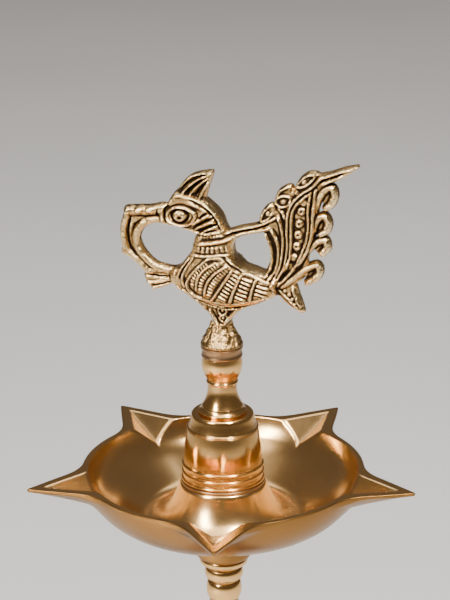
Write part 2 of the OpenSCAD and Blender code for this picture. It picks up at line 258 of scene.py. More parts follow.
def lathe_tree():
    tree = bpy.data.node_groups.new("Turned_piece", "GeometryNodeTree")
    tree.is_modifier = True
    group_input(tree, "Outline", "NodeSocketGeometry")
    group_input(tree, "Steps around", "NodeSocketInt", 128)
    group_input(tree, "Metal", "NodeSocketMaterial")
    tree.interface.new_socket("Piece", in_out="OUTPUT", socket_type="NodeSocketGeometry")
    add = linker(tree)
    given = add("NodeGroupInput").outputs
    outline, around = given["Outline"], given["Steps around"]
    rows = add("GeometryNodeAttributeDomainSize", Geometry=outline).outputs["Point Count"]
    columns = add("FunctionNodeIntegerMath", {"operation": "ADD"}, _0=around, _1=1).outputs[0]
    grid = add("GeometryNodeMeshGrid", Size_X=1.0, Size_Y=1.0, Vertices_X=columns, Vertices_Y=rows)
    index = add("GeometryNodeInputIndex").outputs[0]
    row = add("FunctionNodeIntegerMath", {"operation": "MODULO"}, _0=index, _1=rows).outputs[0]
    column = add("FunctionNodeIntegerMath", {"operation": "DIVIDE_FLOOR"}, _0=index, _1=rows).outputs[0]
    spot = add("GeometryNodeSampleIndex", {"data_type": "FLOAT_VECTOR"}, Geometry=outline,
               Value=add("GeometryNodeInputPosition").outputs[0], Index=row)
    part = add("ShaderNodeSeparateXYZ", Vector=spot.outputs[0]).outputs
    angle = maths(add, "MULTIPLY", maths(add, "DIVIDE", column, around), math.tau)
    x = maths(add, "MULTIPLY", part["X"], maths(add, "COSINE", angle))
    y = maths(add, "MULTIPLY", part["X"], maths(add, "SINE", angle))
    place = add("ShaderNodeCombineXYZ", X=x, Y=y, Z=part["Z"]).outputs[0]
    named = add("GeometryNodeInputNamedAttribute", {"data_type": "FLOAT"}, Name="groove").outputs[0]
    groove = add("GeometryNodeSampleIndex", {"data_type": "FLOAT"}, Geometry=outline, Value=named,
                 Index=row).outputs[0]
    kept = add("GeometryNodeStoreNamedAttribute", {"data_type": "FLOAT", "domain": "POINT"},
               Geometry=grid.outputs[0], Name="groove", Value=groove).outputs[0]
    turned = add("GeometryNodeSetPosition", Geometry=kept, Position=place).outputs[0]
    closed = add("GeometryNodeMergeByDistance", Geometry=turned, Distance=1e-7).outputs[0]
    smooth = add("GeometryNodeSetShadeSmooth", Geometry=closed).outputs[0]
    real = add("GeometryNodeRealizeInstances", Geometry=smooth).outputs[0]
    metal = add("GeometryNodeSetMaterial", Geometry=real, Material=given["Metal"]).outputs[0]
    add("NodeGroupOutput", Piece=metal)
    return tree


LATHE = lathe_tree()
print("lathe tree has", len(LATHE.nodes), "nodes")

# %% [markdown]
# ## Outlines
# An outline is a list of [radius, height] points in mm, from the bottom of the piece to its top.
# Flowing parts are splines through a few points, beads are half circles, and every sharp corner is
# eased by a small fillet, because a real edge always catches a thin line of light. Support points
# beside each fillet keep the flats flat under smooth shading.

# %% Outline helpers
HOLLOW_GAIN = 6


def spline(points, steps=10):
    """Smooth open curve through the points."""
    found = []
    last = len(points) - 1
    for i in range(last):
        a, b, c, d = (np.array(points[min(max(i + k, 0), last)], float) for k in (-1, 0, 1, 2))
        for t in np.arange(steps) / steps:
            found.append(tuple(0.5 * (2 * b + (c - a) * t + (2 * a - 5 * b + 4 * c - d) * t * t
                                      + (3 * b - a - 3 * c + d) * t ** 3)))
    return found + [tuple(points[-1])]


def bead(r, z, height, depth=None, steps=14):
    """Half round that swells out to radius r around height z."""
    depth = height / 2 if depth is None else depth
    turn = np.linspace(-math.pi / 2, math.pi / 2, steps)
    return [(r - depth + depth * math.cos(t), z + height / 2 * math.sin(t)) for t in turn]


def ease(points, fillet=0.2, sharp=25, steps=4):
    """Rounds each corner that turns by more than sharp degrees with an arc of the fillet's size."""
    points = [np.array(p, float) for p in points]
    found = [points[0]]
    for a, b, c in zip(points, points[1:], points[2:]):
        back, on = a - b, c - b
        reach = min(fillet, np.linalg.norm(back) * 0.4, np.linalg.norm(on) * 0.4)
        back, on = back / np.linalg.norm(back), on / np.linalg.norm(on)
        if math.degrees(math.acos(np.clip(-back @ on, -1, 1))) < sharp:
            found.append(b)
            continue
        p, q = b + back * reach, b + on * reach
        found.append(b + back * reach * 1.5)
        for t in np.linspace(0, 1, steps + 1):
            found.append((1 - t) ** 2 * p + 2 * t * (1 - t) * b + t * t * q)
        found.append(b + on * reach * 1.5)
    return found + [points[-1]]


def spaced(points, longest=1.2):
    """Splits long stretches so that no row of faces is taller than longest."""
    found = [points[0]]
    for a, b in zip(points, points[1:]):
        length = np.linalg.norm(b - a)
        if length < 1e-6:
            continue
        pieces = max(1, math.ceil(length / longest))
        for k in range(1, pieces + 1):
            found.append(a + (b - a) * k / pieces)
    return np.array(found)


def hollows(points, width=1.6):
    """How deep each outline point lies in a hollow, from 0 on the open face to 1 in a groove."""
    depth = np.zeros(len(points))
    for i, p in enumerate(points):
        near = points[np.linalg.norm(points - p, axis=1) < width]
        if len(near) > 2:
            centre = near.mean(0)
            ahead = points[min(i + 1, len(points) - 1)] - points[max(i - 1, 0)]
            outward = np.array([ahead[1], -ahead[0]]) / max(np.linalg.norm(ahead), 1e-9)
            depth[i] = (centre - p) @ outward / width
    return np.clip(depth * HOLLOW_GAIN, 0, 1)


print("a 3 mm bead has", len(bead(5, 0, 3)), "outline points")

# %% Turn a piece
RUN_GAP = 0.05
FIXED_GAP = 0.02


def drilled(outline, below=None, above=None):
    """Closes an outline onto the axis; below and above are (radius, depth) of a hole in each end."""
    bottom, top = outline[0][1], outline[-1][1]
    r, deep = below or (0, 0)
    start = [(0, bottom + deep), (r, bottom + deep), (r, bottom)] if below else [(0, bottom)]
    r, deep = above or (0, 0)
    end = [(r, top), (r, top - deep), (0, top - deep)] if above else [(0, top)]
    return start + list(outline) + end


def bored(outline, r):
    """Closes an outline round a hole that goes all the way through."""
    middle = (outline[0][1] + outline[-1][1]) / 2
    return [(r, middle), (r, outline[0][1]), *outline, (r, outline[-1][1]), (r, middle)]


def keep_result(piece, tree, values):
    """Runs a Geometry Nodes tree on a piece and keeps the result as its plain mesh."""
    modifier = piece.modifiers.new(tree.name, "NODES")
    modifier.node_group = tree
    for item in tree.interface.items_tree:
        is_input = item.item_type == "SOCKET" and item.in_out == "INPUT"
        if is_input and item.name in values:
            modifier[item.identifier] = values[item.name]
    bpy.context.view_layer.update()
    evaluated = piece.evaluated_get(bpy.context.evaluated_depsgraph_get())
    mesh = bpy.data.meshes.new_from_object(evaluated)
    piece.modifiers.clear()
    piece.data = mesh
    mesh.name = piece.name


def turn(name, outline, z, metal, steps=128, fillet=0.2, longest=1.2):
    """Turns a closed outline that stands on height z into a finished piece."""
    points = spaced(ease(outline, fillet), longest)
    mesh = bpy.data.meshes.new(name)
    mesh.from_pydata([(r * MM, 0, (z + h) * MM) for r, h in points],
                     [(i, i + 1) for i in range(len(points) - 1)], [])
    values = mesh.attributes.new("groove", "FLOAT", "POINT")
    values.data.foreach_set("value", hollows(points).astype(np.float32))
    piece = bpy.data.objects.new(name, mesh)
    scene.collection.objects.link(piece)
    keep_result(piece, LATHE, {"Steps around": steps, "Metal": metal})
    print(name, len(points), "rows,", len(piece.data.polygons), "faces")
    return piece


def finish_piece(piece, body, node):
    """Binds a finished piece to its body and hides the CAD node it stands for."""
    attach(piece, body)
    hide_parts(node)


print("a hole clears its stud by", RUN_GAP, "mm where it turns and", FIXED_GAP, "mm where it is fixed")

# %% [markdown]
# ## Brass
# Brass is a metal, so all of its colour is in its reflection. What makes it real is small: fine
# turning marks that follow the lathe, a cloudy change of roughness where hands have polished it,
# brown tarnish that stays in the grooves, and a few soft stains. The pan's colour also carries
# painted shade: darker in its valley and channel creases, and dark brown over its outside and
# underside. One function mixes these for each finish, and the numbers decide how bright, how fine
# and how dirty the metal is.

# %% Brass materials
MARK_DEPTH = 0.0000022
WAVE_DEPTH = 0.00004
UNDERSIDE_SHADE = 0.9


def scratches(add, spot):
    """Fine scratches: noise stretched along one slanting direction, of which only the peaks count."""
    slant = add("ShaderNodeMapping", Vector=spot, Rotation=(0.5, 0.9, 0.3), Scale=(900.0, 24.0, 400.0))
    return ranged(add, cloudy(add, slant.outputs[0], 1.0, 2.0), 0.7, 0.85)


def lathe_spot(add, spot):
    """Radius and height, and hardly any angle, so that a pattern on it runs around the piece."""
    part = add("ShaderNodeSeparateXYZ", Vector=spot).outputs
    x_squared = maths(add, "MULTIPLY", part["X"], part["X"])
    radius = maths(add, "SQRT", maths(add, "MULTIPLY_ADD", part["Y"], part["Y"], x_squared))
    drift = maths(add, "MULTIPLY", cloudy(add, spot, 30.0, 1.0), 0.004)
    return add("ShaderNodeCombineXYZ", X=radius, Y=drift, Z=part["Z"]).outputs[0]


def brass(name, bright, deep, tarnish_and_shade, rough=(0.1, 0.2), marks=1.0, stain=0.35):
    """Turned brass: bright and deep are its two tones, tarnish_and_shade the colour mixed into the
    grooves: aged brown on the turned pieces, painted shade in the pan's valley and creases.
    """
    material, add = new_material(name)
    spot = add("ShaderNodeTexCoord").outputs["Object"]
    turned = lathe_spot(add, spot)
    fine = cloudy(add, turned, 5200.0, 2.0, 0.6)
    broad = cloudy(add, turned, 700.0, 3.0, 0.55)
    cloud = cloudy(add, spot, 45.0, 4.0, 0.6)
    blot = cloudy(add, spot, 140.0, 5.0, 0.7, 0.6)
    scored = scratches(add, spot)

    # Colour: two tones, a few stains, tarnish in the grooves, and painted shade in the pan's valley,
    # creases, outside and underside
    groove = add("ShaderNodeAttribute", {"attribute_name": "groove"}).outputs["Fac"]
    under = add("ShaderNodeAttribute", {"attribute_name": "outside"}).outputs["Fac"]
    tarnish_and_shade_share = maths(add, "MULTIPLY", groove, ranged(add, blot, 0.3, 0.62))
    stained = ranged(add, blot, 0.56, 0.8, 0.0, stain)
    aged = mixed(add, stained, mixed(add, cloud, bright, deep), deep)
    colour = mixed(add, tarnish_and_shade_share, aged, tarnish_and_shade)
    # Painted shade: the pan's outside and underside, marked by "outside", go nearly all the way to a
    # dark brown.
    underside_shade_colour = tuple(0.3 * v ** 1.5 for v in deep)
    whole = mixed(add, maths(add, "MULTIPLY", under, UNDERSIDE_SHADE), colour, underside_shade_colour)

    # Gloss: hazier where the clouds, marks and scratches are, dull in the grooves and underneath
    gloss = ranged(add, cloud, 0.3, 0.7, *rough)
    hazed = maths(add, "MULTIPLY_ADD", broad, 0.05, gloss)
    scuffed = maths(add, "MULTIPLY_ADD", scored, 0.1, hazed)
    dulled = maths(add, "MULTIPLY_ADD", tarnish_and_shade_share, 0.3, scuffed, clamp=True)
    dulled_under = maths(add, "MULTIPLY_ADD", under, 0.12, dulled, clamp=True)

    # Surface: turning marks with the scratches cut into them, on a slightly wavy metal
    line = maths(add, "MULTIPLY_ADD", broad, 2.0, fine)
    lined = maths(add, "MULTIPLY_ADD", scored, -0.6, line)
    cut = add("ShaderNodeBump", Strength=1.0, Distance=MARK_DEPTH * marks, Height=lined)
    wavy = add("ShaderNodeBump", Strength=1.0, Distance=WAVE_DEPTH, Height=cloud,
               Normal=cut.outputs[0])
    shader = add("ShaderNodeBsdfPrincipled", Base_Color=whole, Metallic=1.0, Roughness=dulled_under,
                 Normal=wavy.outputs[0])
    add("ShaderNodeOutputMaterial", Surface=shader.outputs[0])
    return material


POLISHED = brass("brass_polished", (0.88, 0.57, 0.23), (0.74, 0.39, 0.11), (0.10, 0.04, 0.015))
PAN_METAL = brass("brass_pan", (0.90, 0.60, 0.28), (0.80, 0.46, 0.16), (0.12, 0.05, 0.02),
                  rough=(0.13, 0.2), stain=0.3)
DARK = brass("brass_dark", (0.42, 0.27, 0.14), (0.24, 0.13, 0.06), (0.06, 0.03, 0.02),
             rough=(0.24, 0.36), marks=2.0, stain=0.5)
STUD_METAL = brass("brass_stud", (0.80, 0.60, 0.34), (0.66, 0.46, 0.24), (0.12, 0.07, 0.03),
                   rough=(0.2, 0.32), marks=1.5, stain=0.3)
print("materials", [m.name for m in bpy.data.materials])

# %% [markdown]
# ## Foot
# The foot is a heavy hollow casting, turned outside: a broad rim, a low step, a rounded dome with a
# bead at its waist, and a small boss for the first ring. It is open underneath, so its outline
# runs up the hollow before it comes down the outside.

# %% Foot
STUD_R = radius_of("foot_stud")
SMALL_STUD_R = radius_of("bird_stud")
STUD_ROOT = 10
SCREW_DEPTH = 9.5
SMALL_SCREW_DEPTH = 6.5


def foot_outline(r, h, boss, wall=3.0):
    """From the middle of the hollow's ceiling, down its inside, and up the outside."""
    ceiling = h * 0.75 - wall
    outline = [(0, ceiling), (boss, ceiling)]
    outline += spline([(boss + 10, h * 0.68 - wall), (r - 22 - wall, h * 0.55 - wall),
                       (r - 20.5 - wall, 14.5), (r - 17 - wall, 8.8), (r - 10 - wall, 6.1),
                       (r - 7.5 - wall / 2, 3.4)], 6)
    outline += [(r - wall - 3, 0)]
    outline += [(r - 0.8, 0), (r, 0.8), (r, 3.2), (r - 1.4, 4.4), (r - 3.4, 4.8)]
    outline += spline([(r - 4.4, 6.4), (r - 9, 9), (r - 14.5, 11.2), (r - 17, 13.4),
                       (r - 18.6, 15.2)], 8)
    outline += bead(r - 17.4, 17.3, 4.2)
    outline += spline([(r - 19.9, 20.2), (r - 21.6, h * 0.55), (boss + 13, h * 0.68),
                       (boss + 5.4, h * 0.77), (boss + 0.9, h * 0.82), (boss - 0.9, h * 0.885)], 8)
    outline += bead(boss, h - 2.2, 3.8)
    outline += [(boss - 1.6, h)]
    hole = STUD_R + FIXED_GAP
    return outline + [(hole, h), (hole, h - STUD_ROOT), (0, h - STUD_ROOT)]


low, high = height_of("foot")
boss_r = radius_of("foot_ring") - 1.2
foot = turn("foot_casting", foot_outline(radius_of("foot"), high - low, boss_r), low, POLISHED,
            steps=192, fillet=0.4)
finish_piece(foot, "base", "foot")

# %% [markdown]
# ## Rings
# Between the sections lie loose rings with rounded edges. They hide the joint, let the two faces
# seat well, and break the long stem into lengths. Each is a half round outline around its hole, so
# one loop makes them all from the boxes of their CAD nodes.

# %% Rings
RINGS = {
    "foot_ring": ("foot_ring_body", STUD_R, POLISHED, "polished_brass"),
    "stem_ring": ("stem_ring_body", STUD_R, POLISHED, "polished_brass"),
    "pan_ring": ("pan_ring_body", STUD_R, POLISHED, "polished_brass"),
    "bell_washer": ("washer_body", STUD_R, DARK, "dark_brass"),
    "neck_ring": ("column_body", SMALL_STUD_R, POLISHED, "polished_brass"),
}
for node, (body, hole, metal, slot) in RINGS.items():
    low, high = height_of(node)
    edge = bead(radius_of(node), (high - low) / 2, high - low, depth=(high - low) * 0.38)
    if node == "neck_ring":
        r = radius_of(node)
        edge = [(r - 0.3, 0), (r, 0.2), (r, 0.7), (r - 0.25, 0.9)]
        edge += spline([(r - 0.4, 1.0), (r - 0.85, 1.6), (r - 1.1, high - low)], 4)
    ring = turn(node + "_turned", bored(edge, hole + RUN_GAP), low, metal, fillet=0.1)
    finish_piece(ring, body, node)

# %% [markdown]
# ## Stems
# Each stem is a slim vase between two sets of beads. The eye follows the swelling of the vase, so
# it is one spline through a few radii; the beads are half rounds set on the shaft. A hole in the
# underside takes the stud of the piece below, and the top holds a stud of its own.

# %% Stems
def lower_stem_outline(r, h, neck):
    """A foot, a vase that swells to r, a slim neck and two beads."""
    outline = [(r - 0.6, 0), (r, 0.6), (r, 2.6), (r - 1.4, 3.6), (r - 2.4, 4.2)]
    outline += spline([(r - 2.8, 6), (r - 1.4, 9), (r - 0.2, h * 0.27), (r, h * 0.34),
                       (r - 1.4, h * 0.48), (neck + 0.6, h * 0.62), (neck, h * 0.72),
                       (neck, h - 14)], 8)
    outline += bead(neck + 1.4, h - 12, 3, 1.3) + bead(neck + 2.4, h - 7, 5, 2.2)
    return outline + [(neck + 0.1, h - 3.4), (neck + 1.6, h - 2.4), (neck + 1.8, h)]


def upper_stem_outline(r, h, ball, flange):
    """A vase that narrows to a shaft with three beads, the top one of radius ball."""
    shaft = ball - 1.4
    outline = [(r - 0.6, 0), (r - 0.1, 0.6), (r - 0.1, 2.2), (r - 1.2, 3.2), (r - 1.8, 4)]
    outline += spline([(r - 1.8, 6), (r - 0.6, 9), (r, h * 0.25), (r - 0.5, h * 0.36),
                       (ball - 0.4, h * 0.5), (ball - 1.1, h * 0.62), (shaft, h - 20)], 8)
    outline += bead(ball - 0.4, h - 17.6, 2.4, 0.95) + [(shaft, h - 14)]
    outline += bead(ball - 0.5, h - 8.6, 5.8, 0.9) + bead(ball, h - 3, 4.4, 1.3)
    return outline + [(shaft + 0.3, h - 0.7), (flange - 1.1, h - 0.4), (flange - 0.9, h)]


WAIST_R = radius_of("stem_ring") - 2.9
TOP_BEAD_R = 5.9
STEM_HOLES = {"below": (STUD_R + RUN_GAP, SCREW_DEPTH), "above": (STUD_R + FIXED_GAP, STUD_ROOT)}
low, high = height_of("lower_stem")
outline = lower_stem_outline(radius_of("lower_stem"), high - low, WAIST_R)
lower_stem = turn("lower_stem_turned", drilled(outline, **STEM_HOLES), low, POLISHED)
finish_piece(lower_stem, "lower_stem_body", "lower_stem")
low, high = height_of("upper_stem")
outline = upper_stem_outline(radius_of("upper_stem"), high - low, TOP_BEAD_R, radius_of("pan_ring"))
upper_stem = turn("upper_stem_turned", drilled(outline, **STEM_HOLES), low, POLISHED)
finish_piece(upper_stem, "upper_stem_body", "upper_stem")

# %% [markdown]
# ## Oil pan
# The pan is the heart of the lamp: a deep bowl with a raised centre and five spouts that hold the
# wicks. Its rim is not round, so the lathe can't make it. Instead a cross-section is worked out for
# each direction around the axis: up the raised centre's flank, through the valley, up the wall,
# out along the channel, over the flat rim and back underneath. Neighbouring sections have the same
# number of points, so joining them gives one even skin with wall thickness, and smooth blends
# between bowl and spouts come from smooth minimum and maximum formulas.

# %% Pan sizes
PAN_R = 42.2
PAN_WALL = 1.8
PAN_INSIDE_R = PAN_R - PAN_WALL
TIP_R = -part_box("oil_pan")[0].y / MM
BOWL_H = 18.2
BOWL_IN_H = 16.2
HILL_TOP = RIM_Z - height_of("bell_washer")[0]
BOSS_R = 8.6
SPOUTS = 5
SPOUT_SLOPE = 0.539
CHANNEL_SLOPE = 0.5035
CHANNEL_ROOT = 40.0
CHANNEL_TIP = 54.6
CHANNEL_DEPTH = 5.2
CHANNEL_REACH = 30.0
TIP_ROUND = 0.006
LIP_FALL = 5
LIP_REACH = 1.5
WALL_LEAN = 0.62
HILL_R = 12.8
HILL_FALL = 12.6
HILL_SPREAD = 3.65
NOTHING_HERE = 3.0
KEEL_DEPTH = 6.4
KEEL_SPREAD = 27
BOSS_DROP = 10.8


def smooth_max(a, b, k):
    """The larger of a and b, with a round change where they cross."""
    h = np.maximum(k - np.abs(a - b), 0) / k
    return np.maximum(a, b) + h * h * k / 4


def smooth_min(a, b, k):
    """The smaller of a and b, with a round change where they cross."""
    return -smooth_max(-a, -b, k)


def fan_out(a, tip, slope):
    """Radius at angle a of a straight-sided point whose tip lies at radius tip."""
    sine = np.sqrt(np.sin(a) ** 2 + TIP_ROUND ** 2)
    return (TIP_ROUND + slope) * tip / (sine + slope * np.cos(a))


def rim_outside(a):
    """Rim radius at angle a from a spout; the blend shrinks to nothing at the sharp tip."""
    blend = 5 if abs(a) > 0.02 else 1e-9
    return smooth_max(PAN_R, fan_out(a, TIP_R, SPOUT_SLOPE), blend)


def rim_inside(a):
    """Radius of the lip's inner edge at angle a from a spout."""
    return smooth_max(PAN_INSIDE_R, fan_out(a, CHANNEL_TIP, CHANNEL_SLOPE), 0.9)


between = float(rim_outside(math.pi / SPOUTS))
print("rim radius between spouts", round(between, 2), "mm, at a tip", round(TIP_R, 2), "mm")

# %% Pan sections
def bowl_depth(r, rim_r, depth):
    """How far the bowl's round wall lies below the rim at radius r."""
    return depth * (1 - np.minimum(r / rim_r, 1) ** 4) ** 0.6


def inside_height(r, a):
    """Height of the pan's inner surface under the rim: the lowest of bowl and wick channel."""
    inward = np.maximum(PAN_INSIDE_R - r, 0)
    lip = -LIP_FALL * (1 - np.exp(-inward / LIP_REACH))
    wall = smooth_max(lip - WALL_LEAN * inward, -BOWL_IN_H, 1.6)
    hill = -HILL_TOP - HILL_FALL * (1 - np.exp(-np.maximum(r - HILL_R, 0) / HILL_SPREAD))
    bowl = smooth_max(wall, hill, 2.5)
    along, across = r * math.cos(a), np.sqrt((r * math.sin(a)) ** 2 + 0.02)
    drop = CHANNEL_DEPTH / (CHANNEL_TIP - CHANNEL_ROOT)
    channel = (along - CHANNEL_TIP) * drop + across * drop / CHANNEL_SLOPE
    # Farther in, the channel's planes would cut into the hill around the bell
    channel = np.where(r > CHANNEL_REACH, channel, NOTHING_HERE)
    open_wall = np.where(r < PAN_INSIDE_R, bowl, NOTHING_HERE)
    return np.minimum(smooth_min(open_wall, channel, 1.0), 0)


def underside_height(r, a):
    """Height of the outer surface under the rim: the bowl, and a keel under each spout."""
    bowl = -bowl_depth(r, PAN_R, BOWL_H)
    along, across = r * math.cos(a), abs(r * math.sin(a))
    t = np.minimum((along - CHANNEL_ROOT) / (TIP_R - CHANNEL_ROOT), 1)
    half = SPOUT_SLOPE * (TIP_R - along) + 4.6 * np.maximum(0, 1 - 2.6 * t) ** 2
    side = np.clip(across / np.maximum(half, 0.05), 0, 1) ** 1.6
    edge = 0.45 + 0.55 * (1 - t)
    keel = -edge - (KEEL_DEPTH * (1 - t) + 0.6 - edge) * (1 - side)
    share = np.clip((KEEL_SPREAD - abs(math.degrees(a))) / 9, 0, 1)
    share = share * share * (3 - 2 * share)
    return smooth_min(bowl, keel * share, 0.05 + 2.4 * share)


def resample(points, count):
    """The same line with count points at even steps, without its last point."""
    points = np.array(points, float)
    run = np.concatenate([[0], np.cumsum(np.linalg.norm(np.diff(points, axis=0), axis=1))])
    steps = np.linspace(0, run[-1], count + 1)[:-1]
    return np.stack([np.interp(steps, run, points[:, i]) for i in (0, 1)], 1)


def arc(p, corner, q, count=4):
    """Rounds the corner between p and q, without q itself."""
    p, corner, q = (np.array(v, float) for v in (p, corner, q))
    return np.array([(1 - t) ** 2 * p + 2 * t * (1 - t) * corner + t * t * q
                     for t in np.linspace(0, 1, count + 1)[:-1]])


def pan_section(a):
    """One cross-section of the pan at angle a from a spout, as [radius, height under the rim]."""
    stud = STUD_R + FIXED_GAP
    root = -HILL_TOP - 6.3
    start = np.array([(0, root), (stud, root), (stud, -HILL_TOP), (8, -HILL_TOP), (12.3, -HILL_TOP)])
    outer, inner = float(rim_outside(a)), float(rim_inside(a))
    turn_in = np.sin(np.linspace(0, math.pi / 2, 240))
    r = 12.5 + (PAN_INSIDE_R - 12.5) * turn_in
    if inner > PAN_INSIDE_R + 0.01:
        r = np.concatenate([r, np.linspace(PAN_INSIDE_R, inner, 120)[1:]])
    z = inside_height(r, a)
    low_part = r <= 37.5
    high_part = (r >= 37.5) & (z < -0.25)
    bowl = resample(np.stack([r[low_part], z[low_part]], 1), 46)
    high_line = np.stack([r[high_part], z[high_part]], 1)
    wall = resample(np.vstack([high_line, [high_line[-1]]]), 30)
    lip = arc(high_line[-1], (inner, 0), (inner + 0.25, 0))
    top = resample([(inner + 0.25, 0), (outer - 0.3, 0)], 7)
    edge = arc((outer - 0.3, 0), (outer, 0), (outer, -0.3))
    fillet = 1.5
    boss_side = BOSS_R + fillet
    closeness = np.sin(np.linspace(math.pi / 2, 0, 400)) ** 0.5
    r = BOSS_R + fillet + (outer - 0.01 - BOSS_R - fillet) * closeness
    under = np.vstack([[(outer, -0.3)], np.stack([r, underside_height(r, a)], 1)])
    near, far = under[under[:, 0] > 35], under[under[:, 0] <= 35]
    near = resample(np.vstack([near, far[:1]]), 34)
    far = resample(far, 30)
    bottom = float(underside_height(np.array([boss_side]), math.pi / 5)[0])
    foot_z = -BOWL_H - BOSS_DROP
    hole = STUD_R + RUN_GAP
    boss = [*arc((boss_side, bottom), (BOSS_R, bottom), (BOSS_R, bottom - fillet), 5),
            *resample([(BOSS_R, bottom - fillet), (BOSS_R, foot_z + 1.6)], 6),
            *arc((BOSS_R, foot_z + 1.6), (BOSS_R, foot_z), (BOSS_R - 1.6, foot_z), 5),
            (BOSS_R - 1.6, foot_z), (hole, foot_z), (hole, foot_z + SCREW_DEPTH),
            (0, foot_z + SCREW_DEPTH)]
    inside_rows = len(start) + len(bowl) + len(wall) + len(lip) + len(top)
    return np.vstack([start, bowl, wall, lip, top, edge, near, far, boss]), inside_rows


section, inside_rows = pan_section(0.0)
print("a pan section has", len(section), "points,", inside_rows, "of them inside")

# %% Pan mesh
def spout_angles():
    """Angles across one spout's share of the rim, closer together at the tip and the corner."""
    corner, share = math.radians(10.2), math.pi / SPOUTS
    first = corner * np.linspace(0, 1, 17) ** 1.3
    second = corner + (share - corner) * np.linspace(0, 1, 20)[1:] ** 1.3
    half = np.concatenate([first, second])
    return np.concatenate([-half[:0:-1], half[:-1]])


def skin(columns, name):
    """Closed mesh over columns of points that run from axis to axis, one column for each angle."""
    count, rows = len(columns), len(columns[0])
    points = np.concatenate(columns)
    a = np.arange(count)[:, None] * rows + np.arange(rows - 1)[None, :]
    b = (np.arange(count)[:, None] + 1) % count * rows + np.arange(rows - 1)[None, :]
    faces = np.stack([a, a + 1, b + 1, b], -1).reshape(-1, 4)
    mesh = bpy.data.meshes.new(name)
    mesh.from_pydata(points * MM, [], faces.tolist())
    mesh.shade_smooth()
    piece = bpy.data.objects.new(name, mesh)
    scene.collection.objects.link(piece)
    return piece


def mend(piece, gap=1e-7):
    """Merges points that meet, so that poles close and no face is left without area."""
    work = bmesh.new()
    work.from_mesh(piece.data)
    bmesh.ops.remove_doubles(work, verts=work.verts, dist=gap)
    bmesh.ops.dissolve_degenerate(work, edges=work.edges, dist=gap)
    work.to_mesh(piece.data)
    work.free()


# Painted shade: the pan's inside darkens towards the tarnish colour in a band round the bowl's valley
# and along each channel's crease, through its "groove" value.
VALLEY_SHADE = 0.35
CREASE_SHADE = 0.6
columns = []
groove = []
outside = []
for spout in range(SPOUTS):
    middle = -math.pi / 2 + spout * math.tau / SPOUTS
    for a in spout_angles():
        section, inside_rows = pan_section(float(a))
        angle = middle + a
        columns.append(np.stack([section[:, 0] * math.cos(angle), section[:, 0] * math.sin(angle),
                                 RIM_Z + section[:, 1]], 1))
        row = np.arange(len(section))
        outside.append((row >= inside_rows).astype(float))
        is_inside_row = row < inside_rows
        valley = np.exp(-((section[:, 0] - 20) / 5) ** 2) * is_inside_row * VALLEY_SHADE
        crease = np.exp(-(math.degrees(a) / 0.9) ** 2) * (section[:, 0] > 39) * is_inside_row
        groove.append(valley + crease * CREASE_SHADE * (section[:, 1] < -0.1))
pan = skin(columns, "oil_pan_bowl")
for name, values in (("groove", groove), ("outside", outside)):
    stored = pan.data.attributes.new(name, "FLOAT", "POINT")
    stored.data.foreach_set("value", np.concatenate(values).astype(np.float32))
mend(pan)
pan.data.materials.append(PAN_METAL)
finish_piece(pan, "pan_body", "oil_pan")
print(pan.name, len(pan.data.polygons), "faces")

# %% [markdown]
# ## Bell and neck
# The bell stands in the oil and carries the bird. Three thin raised lines circle its foot, its wall
# leans in very slightly, and a ledge and a short band finish its top. The neck is a small
# baluster: a flared foot, a thin waist with a bead, and a ball under the collar.

# %% Bell, neck and collar
def bell_outline(r, h):
    """Three beads with hollows between them, a leaning wall, a thin line and a tapered band."""
    wall, top = r - 0.5, r - 3.35
    outline = [(wall - 0.1, 0), (wall, 0.1)] + bead(r, 0.6, 0.9, 0.5)
    outline += spline([(wall - 0.02, 1.15), (wall - 0.12, 1.8), (wall - 0.02, 2.45)], 4)
    outline += bead(r - 0.12, 2.8, 0.8, 0.45)
    outline += spline([(wall - 0.06, 3.3), (wall - 0.16, 4), (wall - 0.08, 4.6)], 4)
    outline += bead(r - 0.25, 5, 0.8, 0.45)
    outline += spline([(r - 0.75, 5.6), (r - 0.9, 8), (r - 1.1, 10.6), (r - 1.4, 13.2),
                       (r - 1.85, h - 5.1)], 6)
    outline += bead(r - 1.8, h - 4.75, 0.55, 0.25)
    outline += spline([(r - 2.3, h - 4.3), (r - 2.5, h - 3.6), (top + 0.5, h - 2.2),
                       (top + 0.25, h - 0.9)], 4)
    return outline + [(top + 0.05, h - 0.35), (top - 0.3, h)]


def neck_outline(ball, h):
    """A flared foot, a waist with one bead, and a ball of radius ball."""
    waist = ball - 1.8
    outline = spline([(waist + 1.82, 0), (waist + 1.3, 0.9), (waist + 0.8, 2), (waist + 0.35, 3.4),
                      (waist + 0.1, 4.8), (waist, 6.6)], 6)
    outline += bead(waist + 0.5, 7.3, 1.1, 0.45)
    return outline + spline([(waist + 0.05, 8), (waist + 0.6, h - 6.4), (ball - 0.35, h - 4.4),
                             (ball, h - 2.2), (ball - 0.25, h)], 6)


NECK_BALL_R = 6.05
BELL_TOP_ROOT = 7
NECK_TOP_ROOT = 6
small_stud = SMALL_STUD_R + FIXED_GAP
small_hole = SMALL_STUD_R + RUN_GAP
low, high = height_of("bell")
outline = drilled(bell_outline(radius_of("bell"), high - low),
                  below=(STUD_R + RUN_GAP, SCREW_DEPTH), above=(small_stud, BELL_TOP_ROOT))
bell = turn("bell_turned", outline, low, POLISHED, steps=160, fillet=0.15)
finish_piece(bell, "column_body", "bell")
low, high = height_of("neck")
outline = drilled(neck_outline(NECK_BALL_R, high - low), below=(small_hole, SMALL_SCREW_DEPTH),
                  above=(small_stud, NECK_TOP_ROOT))
neck = turn("neck_turned", outline, low, POLISHED, fillet=0.12)
finish_piece(neck, "column_body", "neck")
low, high = height_of("bird_collar")
r, h = radius_of("bird_collar"), high - low
side = spline([(r - 0.3, 1), (r - 0.35, h * 0.5), (r - 0.2, h - 0.6)], 4)
